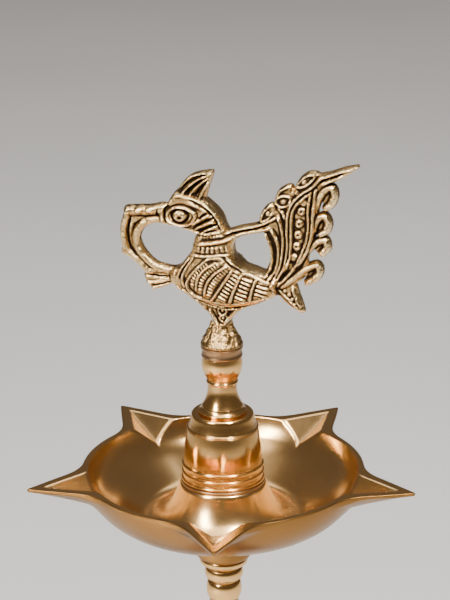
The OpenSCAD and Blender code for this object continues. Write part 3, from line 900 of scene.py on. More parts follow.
outline = bored([(r - 0.35, 0), (r - 0.1, 0.5), *side, (r, h - 0.4), (r, h)], small_hole)
collar = turn("bird_collar_turned", outline, low, DARK, fillet=0.12)
finish_piece(collar, "collar_body", "bird_collar")

# %% [markdown]
# ## Cast bird
# The bird is a sand casting made in two flat moulds, so both sides carry the same relief and meet
# at a thick edge. That makes it a height map: for every point of the side view, how thick is the
# metal? Round forms come from the distance to an outline, feathers and strands are ridges along
# curves, and beads are small domes. The height map is laid on a fine grid whose border is pulled
# onto the outline, mirrored for the far side, and joined by a rounded edge. All points below are
# [along, up] in mm from the middle of the bird's foot, beak to the left.

# %% Bird outlines
BIRD_TURN = math.radians(-11)
GRID = 0.23
EYE = (-11.15, 39.8)
BODY = [(-13.6, 18.6), (-8.6, 15.2), (-4, 13.2), (1.5, 12.2), (8, 13.2), (14.2, 15.6), (17, 17.5),
        (17, 22), (13, 23.4), (7, 24.9), (4.6, 27.6), (3.8, 31), (4.4, 34.6), (-5.4, 34.6),
        (-7.6, 31.6), (-8.2, 29), (-10, 26.4), (-12, 24), (-14.4, 21.8)]
WING = [(-2.6, 27.6), (-5.2, 25.4), (-7.6, 22.8), (-9, 20.2), (-8.4, 17.6), (-6, 15.8),
        (-3.6, 14.9), (1.2, 14.1), (5.2, 14.3), (9.4, 15.3), (13.4, 16.4), (16.4, 17.8), (16, 21),
        (14, 21.8), (11, 23.2), (7.4, 24.6), (4.4, 26.8), (1.2, 27.9)]
HEAD = [(-14.4, 42), (-15.6, 39.6), (-15.2, 37), (-11.6, 36), (-7, 34.4), (-5.6, 32.4), (3, 32.6),
        (1.8, 36.8), (0.4, 40), (-2.2, 42.8), (-5, 44.8), (-9, 46), (-12.2, 46.6), (-13.8, 45)]
CREST = [(-12.4, 45.4), (-11, 48.6), (-8.4, 51.2), (-5, 52.4), (-1.9, 52.7), (-2.6, 50),
         (-3.6, 46.6), (-4.8, 43.6), (-9, 44)]
TAIL = [(14, 17.6), (17.6, 18.6), (22.6, 21), (25.4, 24), (25.8, 28.6), (27.4, 33), (28, 38),
        (28.4, 42), (29.4, 47), (31.8, 50.6), (29.6, 53.4), (26.4, 53.2), (23.4, 50.4),
        (21.2, 48.6), (19.4, 47.2), (17.4, 44), (15.4, 41.2), (13, 39.6), (13, 36.2), (14.4, 31.6),
        (14.8, 27.6), (13.6, 23.6)]
LOW_FEATHER = [(15.4, 18.8), (18, 16.2), (21, 13.6), (24.6, 12), (24.4, 14.4), (23.2, 17.6),
               (22, 20.6), (18, 21)]
TIP_FEATHER = [(28.6, 49.6), (32.2, 51), (36, 53), (40.1, 56.2), (36.6, 55.9), (32.6, 54.4),
               (29.2, 53.4), (26.6, 51)]
LEAVES = [[(22.2, 49.2), (23.4, 52), (26, 54), (28.6, 53.8), (27, 51.2), (24.6, 49.4)],
          [(16.2, 45.6), (17.4, 48.4), (20, 50), (21.4, 49.4), (21, 46), (18.8, 43.2), (16.6, 43.8)],
          [(11.6, 38.6), (12.6, 42), (14.8, 44.2), (16.6, 43.2), (16.4, 40), (14.6, 37.8)]]
LEGS = [(-2, 6.6), (-3, 9.6), (-6.6, 13), (-9.6, 15.8), (-5, 17.5), (8, 17.5), (11.6, 15.6),
        (8, 13), (5, 10.8), (3.2, 8.6), (2.3, 6.6)]
print("bird outlines have", sum(map(len, (BODY, WING, HEAD, CREST, TAIL, LEGS))), "points")


def closed_curve(points, steps=5):
    """Smooth closed curve through the points."""
    ring = [points[-1], *points, points[0], points[1]]
    return np.array(spline(ring, steps)[steps:-steps - 1])


def open_curve(points, steps=5):
    """Smooth open curve through the points."""
    return np.array(spline(points, steps))


# %% [markdown]
# ## Tools for the relief
# A modeller in wax would work the same way: first the round body forms, then strips laid on them,
# grooves cut beside the strips, short bars across a band, and drops of wax for beads. Each of these
# is one small function that changes the height map only near its curve, which keeps it quick.

# %% Bird grid
RIDGE_GAIN = 1.25
RIB_GAIN = 1.3
low_corner = np.array([-33.0, 6.4])
shape = (330, 226)
grid_x, grid_z = np.meshgrid(low_corner[0] + GRID * np.arange(shape[0]),
                             low_corner[1] + GRID * np.arange(shape[1]), indexing="ij")
spots = np.stack([grid_x, grid_z], -1)
relief = np.zeros(shape)
edge_distance = np.full(shape, -9.0)
print("the height map has", relief.size, "points,", GRID, "mm apart")


def near(curve, reach):
    """The window of the grid within reach of a curve."""
    low = np.floor((curve.min(0) - reach - low_corner) / GRID).astype(int)
    high = np.ceil((curve.max(0) + reach - low_corner) / GRID).astype(int) + 1
    low, high = np.maximum(low, 0), np.minimum(high, shape)
    return np.s_[low[0]:high[0], low[1]:high[1]]


def to_curve(points, curve):
    """Distance from each point to a curve, and how far along the curve the nearest place is."""
    best = np.full(points.shape[:-1], 1e9)
    along = np.zeros(points.shape[:-1])
    run = 0.0
    for a, b in zip(curve, curve[1:]):
        step = b - a
        length = float(np.hypot(*step))
        if length < 1e-9:
            continue
        t = np.clip(((points - a) @ step) / length ** 2, 0, 1)
        gap = points - (a + t[..., None] * step)
        d = np.hypot(gap[..., 0], gap[..., 1])
        closer = d < best
        best = np.where(closer, d, best)
        along = np.where(closer, run + t * length, along)
        run += length
    return best, along, run


def is_inside(points, curve):
    """Even-odd test of each point against a closed curve."""
    x, z = points[..., 0], points[..., 1]
    inside = np.zeros(points.shape[:-1], bool)
    for a, b in zip(curve, np.roll(curve, -1, 0)):
        if a[1] != b[1]:
            crosses = (a[1] > z) != (b[1] > z)
            inside ^= crosses & (x < (b[0] - a[0]) * (z - a[1]) / (b[1] - a[1]) + a[0])
    return inside


def form(outline, middle, rim, swell, blend=0.5):
    """A rounded form inside a closed outline: middle is its half thickness, rim that at its edge."""
    curve = closed_curve(outline)
    window = near(curve, 3)
    d = to_curve(spots[window], np.vstack([curve, curve[:1]]))[0]
    d = np.where(is_inside(spots[window], curve), d, -d)
    edge_distance[window] = np.maximum(edge_distance[window], d)
    u = np.clip(d / swell, 0, 1)
    height = rim + (middle - rim) * np.sqrt(1 - (1 - u) ** 2)
    relief[window] = np.where(d > -0.3, smooth_max(relief[window], height, blend), relief[window])


def strand(points, radius, middle, rim=0.9):
    """A round strand that is part of the silhouette."""
    curve = open_curve(points)
    window = near(curve, radius + 3)
    d = radius - to_curve(spots[window], curve)[0]
    edge_distance[window] = np.maximum(edge_distance[window], d)
    u = np.clip(d / radius, 0, 1)
    height = rim + (middle - rim) * np.sqrt(1 - (1 - u) ** 2)
    relief[window] = np.where(d > -0.3, smooth_max(relief[window], height, 0.3), relief[window])


def ridge(points, width, height, closed=False, ends=0.8):
    """Raises a round ridge (or sinks a groove, with a negative height) along a curve."""
    curve = closed_curve(points) if closed else open_curve(points)
    curve = np.vstack([curve, curve[:1]]) if closed else curve
    window = near(curve, width + 1)
    d, along, run = to_curve(spots[window], curve)
    u = np.clip(d / width, 0, 1)
    taper = 1.0 if closed else np.clip(np.minimum(along, run - along) / ends + 0.35, 0, 1)
    relief[window] += RIDGE_GAIN * height * (1 - u * u) ** 1.5 * taper


def ribs(points, width, pitch, height):
    """Short bars across a curved band."""
    curve = open_curve(points)
    window = near(curve, width + 1)
    d, along, run = to_curve(spots[window], curve)
    u = np.clip(d / width, 0, 1)
    wave = np.clip(0.5 + 0.8 * np.cos(math.tau * along / pitch), 0, 1)
    open_ends = np.clip(np.minimum(along, run - along) / 0.4, 0, 1)
    relief[window] += RIB_GAIN * height * wave * (1 - u ** 6) * open_ends


def beads_at(points, radius, height):
    """Small round bosses."""
    for p in points:
        p = np.array(p, float)
        window = near(p[None], radius + 0.5)
        u = np.clip(np.hypot(*np.moveaxis(spots[window] - p, -1, 0)) / radius, 0, 1)
        relief[window] += height * np.sqrt(1 - u * u)


def along_curve(points, count):
    """Evenly spaced places on a curve."""
    curve = open_curve(points)
    run = np.concatenate([[0], np.cumsum(np.linalg.norm(np.diff(curve, axis=0), axis=1))])
    steps = np.linspace(0, run[-1], count)
    return np.stack([np.interp(steps, run, curve[:, i]) for i in (0, 1)], 1)


# %% [markdown]
# ## Forms, then relief
# The forms come first, from the legs up to the curls of the tail, because each one is blended into
# what is already there. The garland and the curls are strands, round in section, and stand free of
# the body, so they also widen the silhouette. The fine relief follows in three parts.

# %% Bird forms
form(LEGS, 3.2, 1.8, 3)
form(BODY, 4.7, 2.6, 6)
form(HEAD, 4.1, 2.3, 4.5)
form(CREST, 2.1, 1.4, 1.4, 0.3)
form(TAIL, 1.9, 1.7, 1, 0.3)
form(LOW_FEATHER, 1.9, 1.5, 1, 0.3)
form(TIP_FEATHER, 2.2, 1.4, 1.2, 0.3)
for leaf in LEAVES:
    form(leaf, 1.9, 1.5, 1, 0.3)
strand([(1.5, 33.6), (6.2, 35.4), (11.2, 36.7), (14.6, 38)], 1.5, 1.9, 1.2)

# Garland held in the beak: two strands that run from the beak round to the flower at the breast
strand([(-13, 40.6), (-17, 40.9), (-20, 40.2), (-23.8, 39.9), (-27.2, 39.6)], 1.5, 2.4)
strand([(-27.2, 39.4), (-28.2, 36.6), (-28.8, 33.6), (-28.6, 31), (-28, 28.6)], 1.15, 2.3)
strand([(-28.2, 27.6), (-25.4, 25.8), (-22.6, 23.2), (-20.6, 21)], 1.3, 2.2)
strand([(-14.2, 37.2), (-18.6, 37.6), (-21.8, 36.8), (-24.2, 34.6), (-25.1, 31.6), (-24.3, 28.6),
        (-22.2, 25.6), (-19.4, 23.4), (-15.6, 22.4), (-12.6, 21.6)], 1.25, 2.2)
strand([(-26.4, 37.6), (-26.9, 33), (-26.2, 28.6), (-23.6, 25.2)], 1.2, 1.3)
strand([(-15.4, 39.3), (-22, 38.4), (-25.6, 37.4)], 1.6, 1.5)
strand([(-12.4, 21.4), (-17, 20), (-21.4, 20.2)], 1.5, 2.0)
strand([(-13, 19.8), (-18, 18.8), (-21.2, 18.4)], 1.1, 2.2)
strand([(-14, 19.6), (-17.6, 17.9), (-20, 17.1)], 1.0, 2.1)
strand([(-12.6, 22.6), (-17.4, 22.4), (-21.6, 22)], 1.1, 2.2)

# Four curls on the tail's outer side
CURLS = [
    [(18.2, 19.8), (22, 22.6), (25.2, 25.4), (28.2, 26.8), (29.2, 25), (28, 22.8), (25.6, 21.4)],
    [(22.6, 26.6), (25.4, 30.6), (28, 33.4), (30.6, 34.3), (31.3, 32), (29.9, 30.4)],
    [(25.8, 32.4), (27, 36.2), (28.2, 40), (30.4, 41.4), (31.6, 39.4), (31, 37), (29.4, 36)],
    [(27.2, 41), (28.2, 45), (30, 48.4), (32.4, 49.8), (33.3, 47.8), (32.5, 45.2), (30.8, 43.8)],
]
for curl in CURLS:
    strand(curl, 1.1, 2.5, 0.9)
beads_at([(29.6, 31.6), (29.8, 38.6), (31.4, 46.6), (27, 23.9)], 1.2, 0.5)
for curl in CURLS:
    middle = np.array(curl[2:]).mean(0)
    strand([tuple(middle - 0.5), tuple(middle + 0.3)], 1.9, 1.4, 1.2)
print("thickest half of the bird", round(float(relief.max()), 2), "mm")

# %% Head and garland relief
ridge([(-14.9, 40.4), (-13.2, 42), (-10.8, 42.5), (-8.2, 41.8), (-6.5, 40.2), (-7.4, 38.3), (-9.4, 37),
       (-11.9, 36.7), (-14, 37.6), (-15, 39)], 0.6, 0.95, closed=True)
ridge([(-13.6, 40.2), (-12.2, 41.4), (-10.2, 41.4), (-8.6, 40.2), (-9.4, 38.4), (-11.4, 37.8),
       (-13.2, 38.6)], 0.45, -0.7, closed=True)
beads_at([EYE], 1.9, 0.9)
beads_at([(EYE[0], EYE[1] - 0.5)], 0.8, -0.8)
ridge([(EYE[0] - 1.3, EYE[1] + 0.4), (EYE[0], EYE[1] + 1.2), (EYE[0] + 1.4, EYE[1] + 0.4)], 0.35, -0.35)
form([(-14.6, 42.6), (-14, 44.8), (-12.4, 46.2), (-9.4, 45.4), (-6.6, 43.8), (-5.4, 42.2), (-7.6, 42.6),
      (-10.6, 43.3), (-13, 42.8)], 4.4, 3.8, 1.2, 0.3)
ridge([(-12.6, 46), (-8.6, 45.4), (-5, 43.8), (-2, 41.6), (0, 39.2), (1, 36.8)], 0.6, 0.7)
ridge([(-8, 44.6), (-4.6, 43), (-2, 40.8), (-0.4, 38.6), (0.6, 36.4)], 0.35, -0.8)
ridge([(-7.6, 43.6), (-4.6, 42), (-2.2, 39.8), (-0.9, 37.8)], 0.45, 0.45)
for start, end in (((-7.4, 37.2), (-3, 40.2)), ((-6.6, 36), (-1.4, 38.6)), ((-4.6, 35.2), (-0.8, 36.8))):
    bend = ((start[0] + end[0]) / 2 - 0.2, (start[1] + end[1]) / 2 + 0.35)
    ridge([start, bend, end], 0.55, 0.8)
for start, end in (((-5.6, 38.9), (-3, 41.2)), ((-5.6, 37.4), (-1.4, 39.6)), ((-4.6, 36), (-0.2, 37.8))):
    ridge([start, ((start[0] + end[0]) / 2, (start[1] + end[1]) / 2 + 0.2), end], 0.4, -1.0)
for strip in ([(-12.9, 46.4), (-10.8, 49.2), (-7.8, 51.3), (-4, 52.1), (-2.2, 52.4)],
              [(-10.8, 45.9), (-8.6, 48.4), (-5.6, 50.6), (-2.8, 51.8)],
              [(-8.4, 45.8), (-6.8, 47.8), (-4.6, 49.8), (-2.6, 51)],
              [(-5.6, 45), (-4.8, 46.8), (-3.6, 48.8), (-2.6, 50.2)]):
    ridge(strip, 0.45, 0.75)
for strip in ([(-11.8, 46.4), (-9.4, 49), (-6.4, 51), (-3.6, 51.9)],
              [(-9.6, 46), (-7.4, 48.4), (-4.8, 50.4)],
              [(-7, 45.6), (-5.6, 47.6), (-3.8, 49.6)]):
    ridge(strip, 0.42, -0.9)
ridge([(-16, 36.6), (-10, 35.6), (-5, 34.9), (-2, 34.6)], 0.6, 0.5)
beads_at([(-27.5, 39.8), (-23.8, 40.2), (-29.3, 27.6), (-20.4, 40.4)], 1.15, 0.7)
beads_at([(-16.9, 39), (-16.6, 37.6)], 0.9, 0.8)
ridge([(-15.4, 42), (-16.2, 40), (-15.8, 37.6)], 0.4, -0.9)
ridge([(-18.3, 41), (-18.6, 38.8)], 0.35, -0.6)
ridge([(-14.4, 20.8), (-18, 20.6), (-21.6, 21)], 0.35, -0.7)
ridge([(-14.6, 19.3), (-17.6, 18.2), (-20.6, 17.8)], 0.35, -0.8)
ridge([(-26.6, 37.4), (-27.4, 34), (-27, 29.6), (-24.8, 26.4)], 0.55, -0.6)
print("with the head's relief the thickest half is", round(float(relief.max()), 2), "mm")

# %% Body and wing relief
form(WING, 5.3, 4.0, 2.6, 0.2)
ridge(WING, 0.55, 0.55, closed=True)
ridge([(-9, 20.4), (-8.6, 18.2), (-6.6, 16.4), (-4, 15.4)], 0.8, 0.6)
BARS = [[(-1.8, 15.2), (0.6, 18.8), (3.6, 23.4), (4.8, 25.4)],
        [(3.6, 14.8), (4.8, 18.4), (6.6, 22.4), (7.6, 24)],
        [(9.4, 15.8), (10.2, 19), (11.4, 22.2)]]
for bar in BARS:
    ridge(bar, 0.6, 0.8, ends=0.2)
ARCS = [[(-6.2, 18.2), (-5.8, 21.4), (-3.8, 24.4), (-0.6, 26.6)],
        [(-3.8, 16.6), (-3.2, 20), (-1, 23.2), (2.6, 25.9)]]
for arc_line in ARCS:
    ridge(arc_line, 0.5, 0.7, ends=0.2)
for band, width, pitch, height in (
        ([(-7.4, 19), (-7.1, 21.4), (-5, 24.2), (-2.4, 26.4)], 0.75, 0.95, 0.45),
        ([(-4.9, 17.6), (-4.6, 20.8), (-2.5, 23.8), (0.8, 26.4)], 0.75, 0.95, 0.45),
        ([(-2.7, 16), (-1.6, 19.4), (0.6, 22.6), (3.4, 25.4)], 0.9, 0.95, 0.45),
        ([(1, 15.2), (2.8, 18.6), (5.2, 22.6), (6, 24.2)], 1.35, 1.15, 0.55),
        ([(6.4, 15.2), (7.6, 18.8), (9, 22.6)], 1.7, 1.25, 0.55),
        ([(12.4, 16.6), (13, 19), (13.6, 21.4)], 1.9, 1.25, 0.55)):
    ribs(band, width, pitch, height)
for line in ([(-7.4, 27.6), (-9.4, 24.6), (-10.6, 21.4), (-9.8, 18.4)],
             [(-8.8, 26.8), (-10.8, 24.2), (-12.2, 21.4)]):
    ridge(line, 0.5, 0.6)
ridge([(-8.1, 27), (-10.1, 24.2), (-11.4, 21.2)], 0.35, -0.6)
for line in ([(-9.4, 17), (-4, 14.2), (2, 13.3), (8.6, 14.4), (14.4, 16.4)],
             [(-5, 14), (1.6, 12.4), (7.4, 13), (12, 14.8)]):
    ridge(line, 0.4, 0.5)
ridge([(-7, 15.2), (-2, 13.4), (3, 12.9), (9, 14), (15, 16.2)], 0.35, -0.8)
ridge([(2.6, 28.6), (4.8, 26.6), (8.4, 24.8), (12.4, 23.4), (14.2, 22.8)], 0.5, 0.6)
ridge([(1.6, 28.2), (4, 26), (7.8, 24.1)], 0.35, -0.7)
ridge([(-8, 28.4), (-4, 28.3), (0, 28.8), (3, 28.9)], 0.5, 0.55)
for z, start, end in ((34.9, -4.8, 0.4), (33.9, -4.9, 0.9), (30.6, -5.6, 2.6), (29.7, -5.8, 2.8)):
    row = along_curve([(start, z), ((start + end) / 2, z + 0.1), (end, z + 0.6)], 7)
    beads_at(row, 0.48, 0.5)
ridge([(-6.2, 31.9), (-3.8, 32), (1.2, 33), (4.2, 34.1), (8.2, 35.3), (12.2, 36.3), (15, 37)],
      0.75, 0.7)
ridge([(2.6, 35.2), (6.2, 36.4), (11.2, 37.6), (14.8, 39.3), (16.6, 40.3)], 0.5, 0.7)
ridge([(2, 34.3), (6.4, 35.7), (11.4, 37), (14.4, 38.2)], 0.3, -0.7)
beads_at([(-12, 18), (-10.2, 17), (-8.2, 15.6), (-6.4, 14.2), (-4.4, 12.6), (-2.8, 11)], 0.8, 0.6)
print("with the wing's relief it is", round(float(relief.max()), 2), "mm")

# %% Tail and leg relief
TAIL_LINES = [
    [(13, 35.6), (14.8, 32.5), (15.4, 28.5), (15, 25.2), (13.6, 23)],
    [(15.2, 36.6), (16.7, 34), (17.4, 30.5), (17.1, 27), (16.1, 24), (14.6, 22.2)],
    [(17.2, 40.6), (18.2, 37.5), (18.7, 33.5), (18.4, 29.5), (17.8, 26), (16.6, 23), (15.6, 20.2)],
    [(29.4, 52.8), (27, 49.9), (23.6, 47.5), (21, 44.4), (20, 41), (19.8, 36.5), (19.9, 31.5),
     (19.1, 26.5), (17.3, 22.5), (16.2, 20)],
    [(26.8, 48.4), (23.6, 45.8), (21.6, 43), (21, 39.6), (21, 34), (20.6, 28.6), (19, 24.4)],
    [(26.6, 47.8), (25.9, 43.5), (26, 38.5), (25.4, 34), (24, 30), (22.1, 26), (19.7, 22.8),
     (17.2, 20.3)],
    [(27.9, 49), (27.4, 43.5), (27.1, 38.5), (26.7, 34.5), (25.1, 30), (23.2, 26.5)],
]
for line in TAIL_LINES:
    ridge(line, 0.62, 1.0)
beads_at([(24, 42.7), (23.3, 39), (23, 35.6), (22.6, 32.2), (21.8, 28.9), (20.5, 26.2),
          (24.6, 45.4)], 1.25, 0.85)
beads_at([(24, 42.7), (23.3, 39), (23, 35.6), (22.6, 32.2)], 0.5, -0.6)
ridge([(22.6, 49.8), (23.8, 51.8), (26, 53.3), (27.8, 53.2), (26.6, 51.4), (24.6, 49.9)],
      0.42, 0.7, closed=True)
ridge([(16.6, 46.4), (17.8, 48.3), (20, 49.5)], 0.45, 0.7)
ridge([(16.6, 45.6), (18.4, 46.8), (20.7, 46.4), (20.2, 44.4), (18.2, 43.5), (16.8, 44.2)],
      0.42, 0.7, closed=True)
ridge([(17, 43.2), (18.6, 41.8), (19.2, 39.8)], 0.5, 0.6)
ridge([(12, 39.2), (12.9, 41.8), (14.7, 43.6)], 0.5, 0.8)
ridge([(12, 38.8), (14, 39.6), (15.6, 41.6)], 0.4, 0.6)
beads_at([(24.7, 51.2), (18.6, 45.1), (14.2, 41.4), (22.6, 48)], 0.7, 0.5)
ridge([(28.8, 52.4), (32, 53.6), (36, 55), (39.6, 56)], 0.55, 0.6)
ridge([(29.6, 50.6), (32.6, 52), (35.8, 53.6)], 0.5, 0.5)
ridge([(29.4, 51.6), (32.4, 52.9), (36, 54.5)], 0.3, -0.6)
ridge([(17.6, 18.8), (20.4, 16), (23.6, 13)], 0.45, 0.7)
ridge([(21.4, 19.6), (22.4, 16.8), (23.6, 14)], 0.5, 0.7)
beads_at(along_curve([(19.2, 18.6), (20.8, 17), (22.4, 15)], 4), 0.5, 0.5)
ridge([(-2.6, 11.6), (-1.2, 9), (0.4, 7.2)], 0.7, 0.7)
ridge([(6, 13), (3.8, 10.4), (1.4, 7.4)], 0.7, 0.7)
for place, size in (((1.1, 11.9), 1.25), ((1.4, 9.6), 1.1)):
    ring = [(place[0] + size * math.cos(a), place[1] + size * math.sin(a))
            for a in np.linspace(0, 5.2, 6)]
    ridge(ring, 0.38, 0.7, closed=True)
    beads_at([place], 0.5, 0.5)
ridge([(-0.8, 8.2), (0.8, 7.4), (2.4, 8.4)], 0.5, 0.8)
print("relief now reaches", round(float(relief.max()), 2), "mm")

# %% [markdown]
# ## Cast metal
# The bird is never polished to a mirror. Sand leaves a grainy skin on it, hands wear the ridges
# bright, and brown-black patina stays in the hollows; the colour also carries painted light, the
# ridges lighter as a painted highlight and the hollows near black as painted shade. The mesh says
# where its hollows are in an attribute of its own, "hollow", which runs from -1 on a ridge to 1 in
# a groove, so the wear, the patina and the painted light follow the relief and not a pattern that
# only looks like it.

# %% Cast brass
GRAIN_DEPTH = 0.00016
LUMP_DEPTH = 0.00045


def cast_brass(name, bright, body, dark):
    """Antique cast brass: ridges bright from wear and painted highlight, hollows brown-black from patina
    and painted shade, grainy all over.
    """
    material, add = new_material(name)
    spot = add("ShaderNodeTexCoord").outputs["Object"]
    hollow = add("ShaderNodeAttribute", {"attribute_name": "hollow"}).outputs["Fac"]
    cloud = cloudy(add, spot, 420.0, 4.0, 0.6)
    grain = cloudy(add, spot, 1700.0, 3.0, 0.65)
    pits = add("ShaderNodeTexVoronoi", Vector=spot, Scale=1500.0).outputs["Distance"]
    # Painted light: hollows go near black, partly patina and partly painted shade; ridges go bright,
    # partly wear and partly painted highlight.
    uneven = maths(add, "MULTIPLY_ADD", cloud, 0.5, hollow)
    patina_and_shade = ranged(add, uneven, 0.27, 0.6)
    wear_and_highlight = ranged(add, uneven, 0.2, -0.3)
    colour = mixed(add, patina_and_shade, mixed(add, wear_and_highlight, body, bright), dark)
    gloss = ranged(add, wear_and_highlight, 0.0, 1.0, 0.24, 0.13)
    rough = maths(add, "MULTIPLY_ADD", patina_and_shade, 0.35, gloss, clamp=True)
    sand = maths(add, "MULTIPLY_ADD", pits, 0.7, grain)
    bump = add("ShaderNodeBump", Strength=1.0, Distance=GRAIN_DEPTH, Height=sand)
    lumps = add("ShaderNodeBump", Strength=1.0, Distance=LUMP_DEPTH, Height=cloud,
                Normal=bump.outputs[0])
    shader = add("ShaderNodeBsdfPrincipled", Base_Color=colour, Metallic=1.0, Roughness=rough,
                 Normal=lumps.outputs[0])
    add("ShaderNodeOutputMaterial", Surface=shader.outputs[0])
    return material


CAST_METAL = cast_brass("brass_antique", (0.95, 0.70, 0.34), (0.52, 0.33, 0.13), (0.025, 0.014, 0.008))
print("cast brass has", len(CAST_METAL.node_tree.nodes), "nodes")

# %% [markdown]
# ## From height map to casting
# The grid keeps only its points inside the outline, and those next to it slide onto it, so the
# edge is smooth and not stepped. The sheet is laid out twice, front and back, and four rows of
# faces join the two round every border, also inside the openings. A slow wobble moves both
# sheets together, since no sand casting is truly flat.

# %% Bird mesh
EDGE_ROUND = 0.8
THINNEST_HALF = 0.35
EDGE_BULGE = 0.16
EDGE_HOLLOW = 0.15
WALL_ROWS = 4
WOBBLES = ((0.16, 0.35, 3.1), (0.16, 1.1, 7.3), (0.05, 2.3, 1.7))


def blurred(values, rounds):
    """Softens the grid with a small kernel, several rounds."""
    for _ in range(rounds):
        padded = np.pad(values, 1, mode="edge")
        values = (padded[:-2, 1:-1] + padded[2:, 1:-1] + padded[1:-1, :-2] + padded[1:-1, 2:]
                  + 4 * padded[1:-1, 1:-1]) / 8
    return values


def cast_sheet():
    """Front sheet of the casting: grid points, their half thickness and hollow value, and its faces."""
    inside = np.maximum(relief, 0.5)
    soft = blurred(inside, 1)
    hollow = np.clip((blurred(inside, 14) - soft) / 0.3, -1, 1)
    u = np.clip(edge_distance / EDGE_ROUND, 0, 1)
    half = np.maximum(soft - EDGE_ROUND * (1 - np.sqrt(1 - (1 - u) ** 2)), THINNEST_HALF)
    slope = np.stack(np.gradient(edge_distance, GRID), -1)
    slope /= np.maximum(np.linalg.norm(slope, axis=-1, keepdims=True), 0.3)
    kept = edge_distance > -0.5 * GRID
    on_edge = (np.abs(edge_distance) < 0.5 * GRID)[..., None]
    place = np.where(on_edge, spots - slope * edge_distance[..., None], spots)
    number = np.full(shape, -1)
    number[kept] = np.arange(kept.sum())
    corners = np.stack([number[:-1, :-1], number[1:, :-1], number[1:, 1:], number[:-1, 1:]], -1)
    corners = corners.reshape(-1, 4)
    count = (corners >= 0).sum(1)
    faces = [list(map(int, c)) for c in corners[count == 4]]
    faces += [[int(i) for i in c if i >= 0] for c in corners[count == 3]]
    return place[kept], half[kept], hollow[kept], faces


def border_of(faces):
    """Directed edges that belong to one face only."""
    edges = {}
    for face in faces:
        for a, b in zip(face, face[1:] + face[:1]):
            edges[(a, b)] = True
    return [e for e in edges if (e[1], e[0]) not in edges]


def wobble_at(p):
    """How far the casting strays from flat at one point: slow, middling and quick waves."""
    return sum(size * noise.noise(Vector((p[0] * often, p[1] * often, seed)))
               for size, often, seed in WOBBLES)


place, half_thick, hollow, sheet = cast_sheet()
used = sorted({i for face in sheet for i in face})
renumber = {old: new for new, old in enumerate(used)}
sheet = [[renumber[i] for i in face] for face in sheet]
place, half_thick, hollow = place[used], half_thick[used], hollow[used]
border = border_of(sheet)
count = len(place)
wobble = np.array([wobble_at(p) for p in place])
front = np.stack([place[:, 0], -half_thick + wobble, place[:, 1]], 1)
back = np.stack([place[:, 0], half_thick + wobble, place[:, 1]], 1)
points = [front, back]
faces = [list(face) for face in sheet]
faces += [[i + count for i in reversed(face)] for face in sheet]
rim_points = sorted({i for edge in border for i in edge})
ring_of = {0: {i: i for i in rim_points}, WALL_ROWS: {i: i + count for i in rim_points}}
outward = {i: np.zeros(2) for i in rim_points}
for a, b in border:
    run = place[b] - place[a]
    for i in (a, b):
        outward[i] += np.array([run[1], -run[0]]) / max(np.hypot(*run), 1e-6)
total = 2 * count
for row in range(1, WALL_ROWS):
    share = row / WALL_ROWS
    bulge = EDGE_BULGE * math.sin(math.pi * share)
    made = []
    for i in rim_points:
        push = outward[i] / max(np.hypot(*outward[i]), 1e-6) * bulge
        y = front[i, 1] * (1 - share) + back[i, 1] * share
        made.append((place[i, 0] + push[0], y, place[i, 1] + push[1]))
    ring_of[row] = {i: total + k for k, i in enumerate(rim_points)}
    points.append(np.array(made))
    total += len(made)
for a, b in border:
    for row in range(WALL_ROWS):
        upper, lower = ring_of[row], ring_of[row + 1]
        faces.append([upper[b], upper[a], lower[a], lower[b]])
points = np.vstack(points)
values = np.concatenate([hollow, hollow, np.full(len(points) - 2 * count, EDGE_HOLLOW)])
print("bird sheet", len(sheet), "faces,", len(border), "border edges")

# %% Bird piece
bird_foot_z = height_of("bird_finial")[0]
mesh = bpy.data.meshes.new("bird_cast")
mesh.from_pydata(points.tolist(), [], faces)
stored = mesh.attributes.new("hollow", "FLOAT", "POINT")
stored.data.foreach_set("value", values.astype(np.float32))
mesh.shade_smooth()
bird = bpy.data.objects.new("bird_cast", mesh)
scene.collection.objects.link(bird)


def place_bird(piece):
    """Turns the bird on its stud and sets it on its collar."""
    piece.data.transform(Matrix.Scale(MM, 4))
    piece.data.transform(Matrix.Rotation(BIRD_TURN, 4, "Z"))
    piece.data.transform(Matrix.Translation((0, 0, bird_foot_z * MM)))


place_bird(bird)
pedestal_side = spline([(5.85, 1.5), (4.9, 3.2), (3.9, 5), (3.3, 6.4), (2.7, 7.6), (2.1, 8.6)], 5)
outline = drilled([(5.9, 0), (6.3, 0.5), (6.25, 1), *pedestal_side],
                  below=(small_hole, SMALL_SCREW_DEPTH - 0.3))
pedestal = turn("pedestal", outline, bird_foot_z, STUD_METAL, steps=96, longest=0.5)


def flute(piece, foot_z, low, high, folds=9, depth=0.5):
    """Cast folds down the outside of the pedestal, uneven around it and gone at its lip."""
    for v in piece.data.vertices:
        x, y, z = (c / MM for c in v.co)
        z -= foot_z
        r = math.hypot(x, y)
        if r < SMALL_STUD_R + 0.4 or not low < z < high:
            continue
        a = math.atan2(y, x)
        wave = math.sin(folds * a + 1.3 * math.sin(2 * a) + 0.35 * z)
        rough = noise.noise(Vector((x * 0.9, y * 0.9, z * 0.9)))
        push = depth * (0.6 * wave + 0.9 * rough) * min((z - low) / 0.8, 1)
        v.co.x *= (r + push) / r
        v.co.y *= (r + push) / r


flute(pedestal, bird_foot_z, 1.3, 8.5)


def fuse(piece, other):
    """Joins another closed mesh into a piece and removes it."""
    joiner = piece.modifiers.new("join", "BOOLEAN")
    joiner.operation = "UNION"
    joiner.solver = "MANIFOLD"
    joiner.object = other
    bpy.context.view_layer.update()
    mesh = bpy.data.meshes.new_from_object(piece.evaluated_get(bpy.context.evaluated_depsgraph_get()))
    piece.modifiers.clear()
    piece.data = mesh
    mesh.name = piece.name
    bpy.data.objects.remove(other)


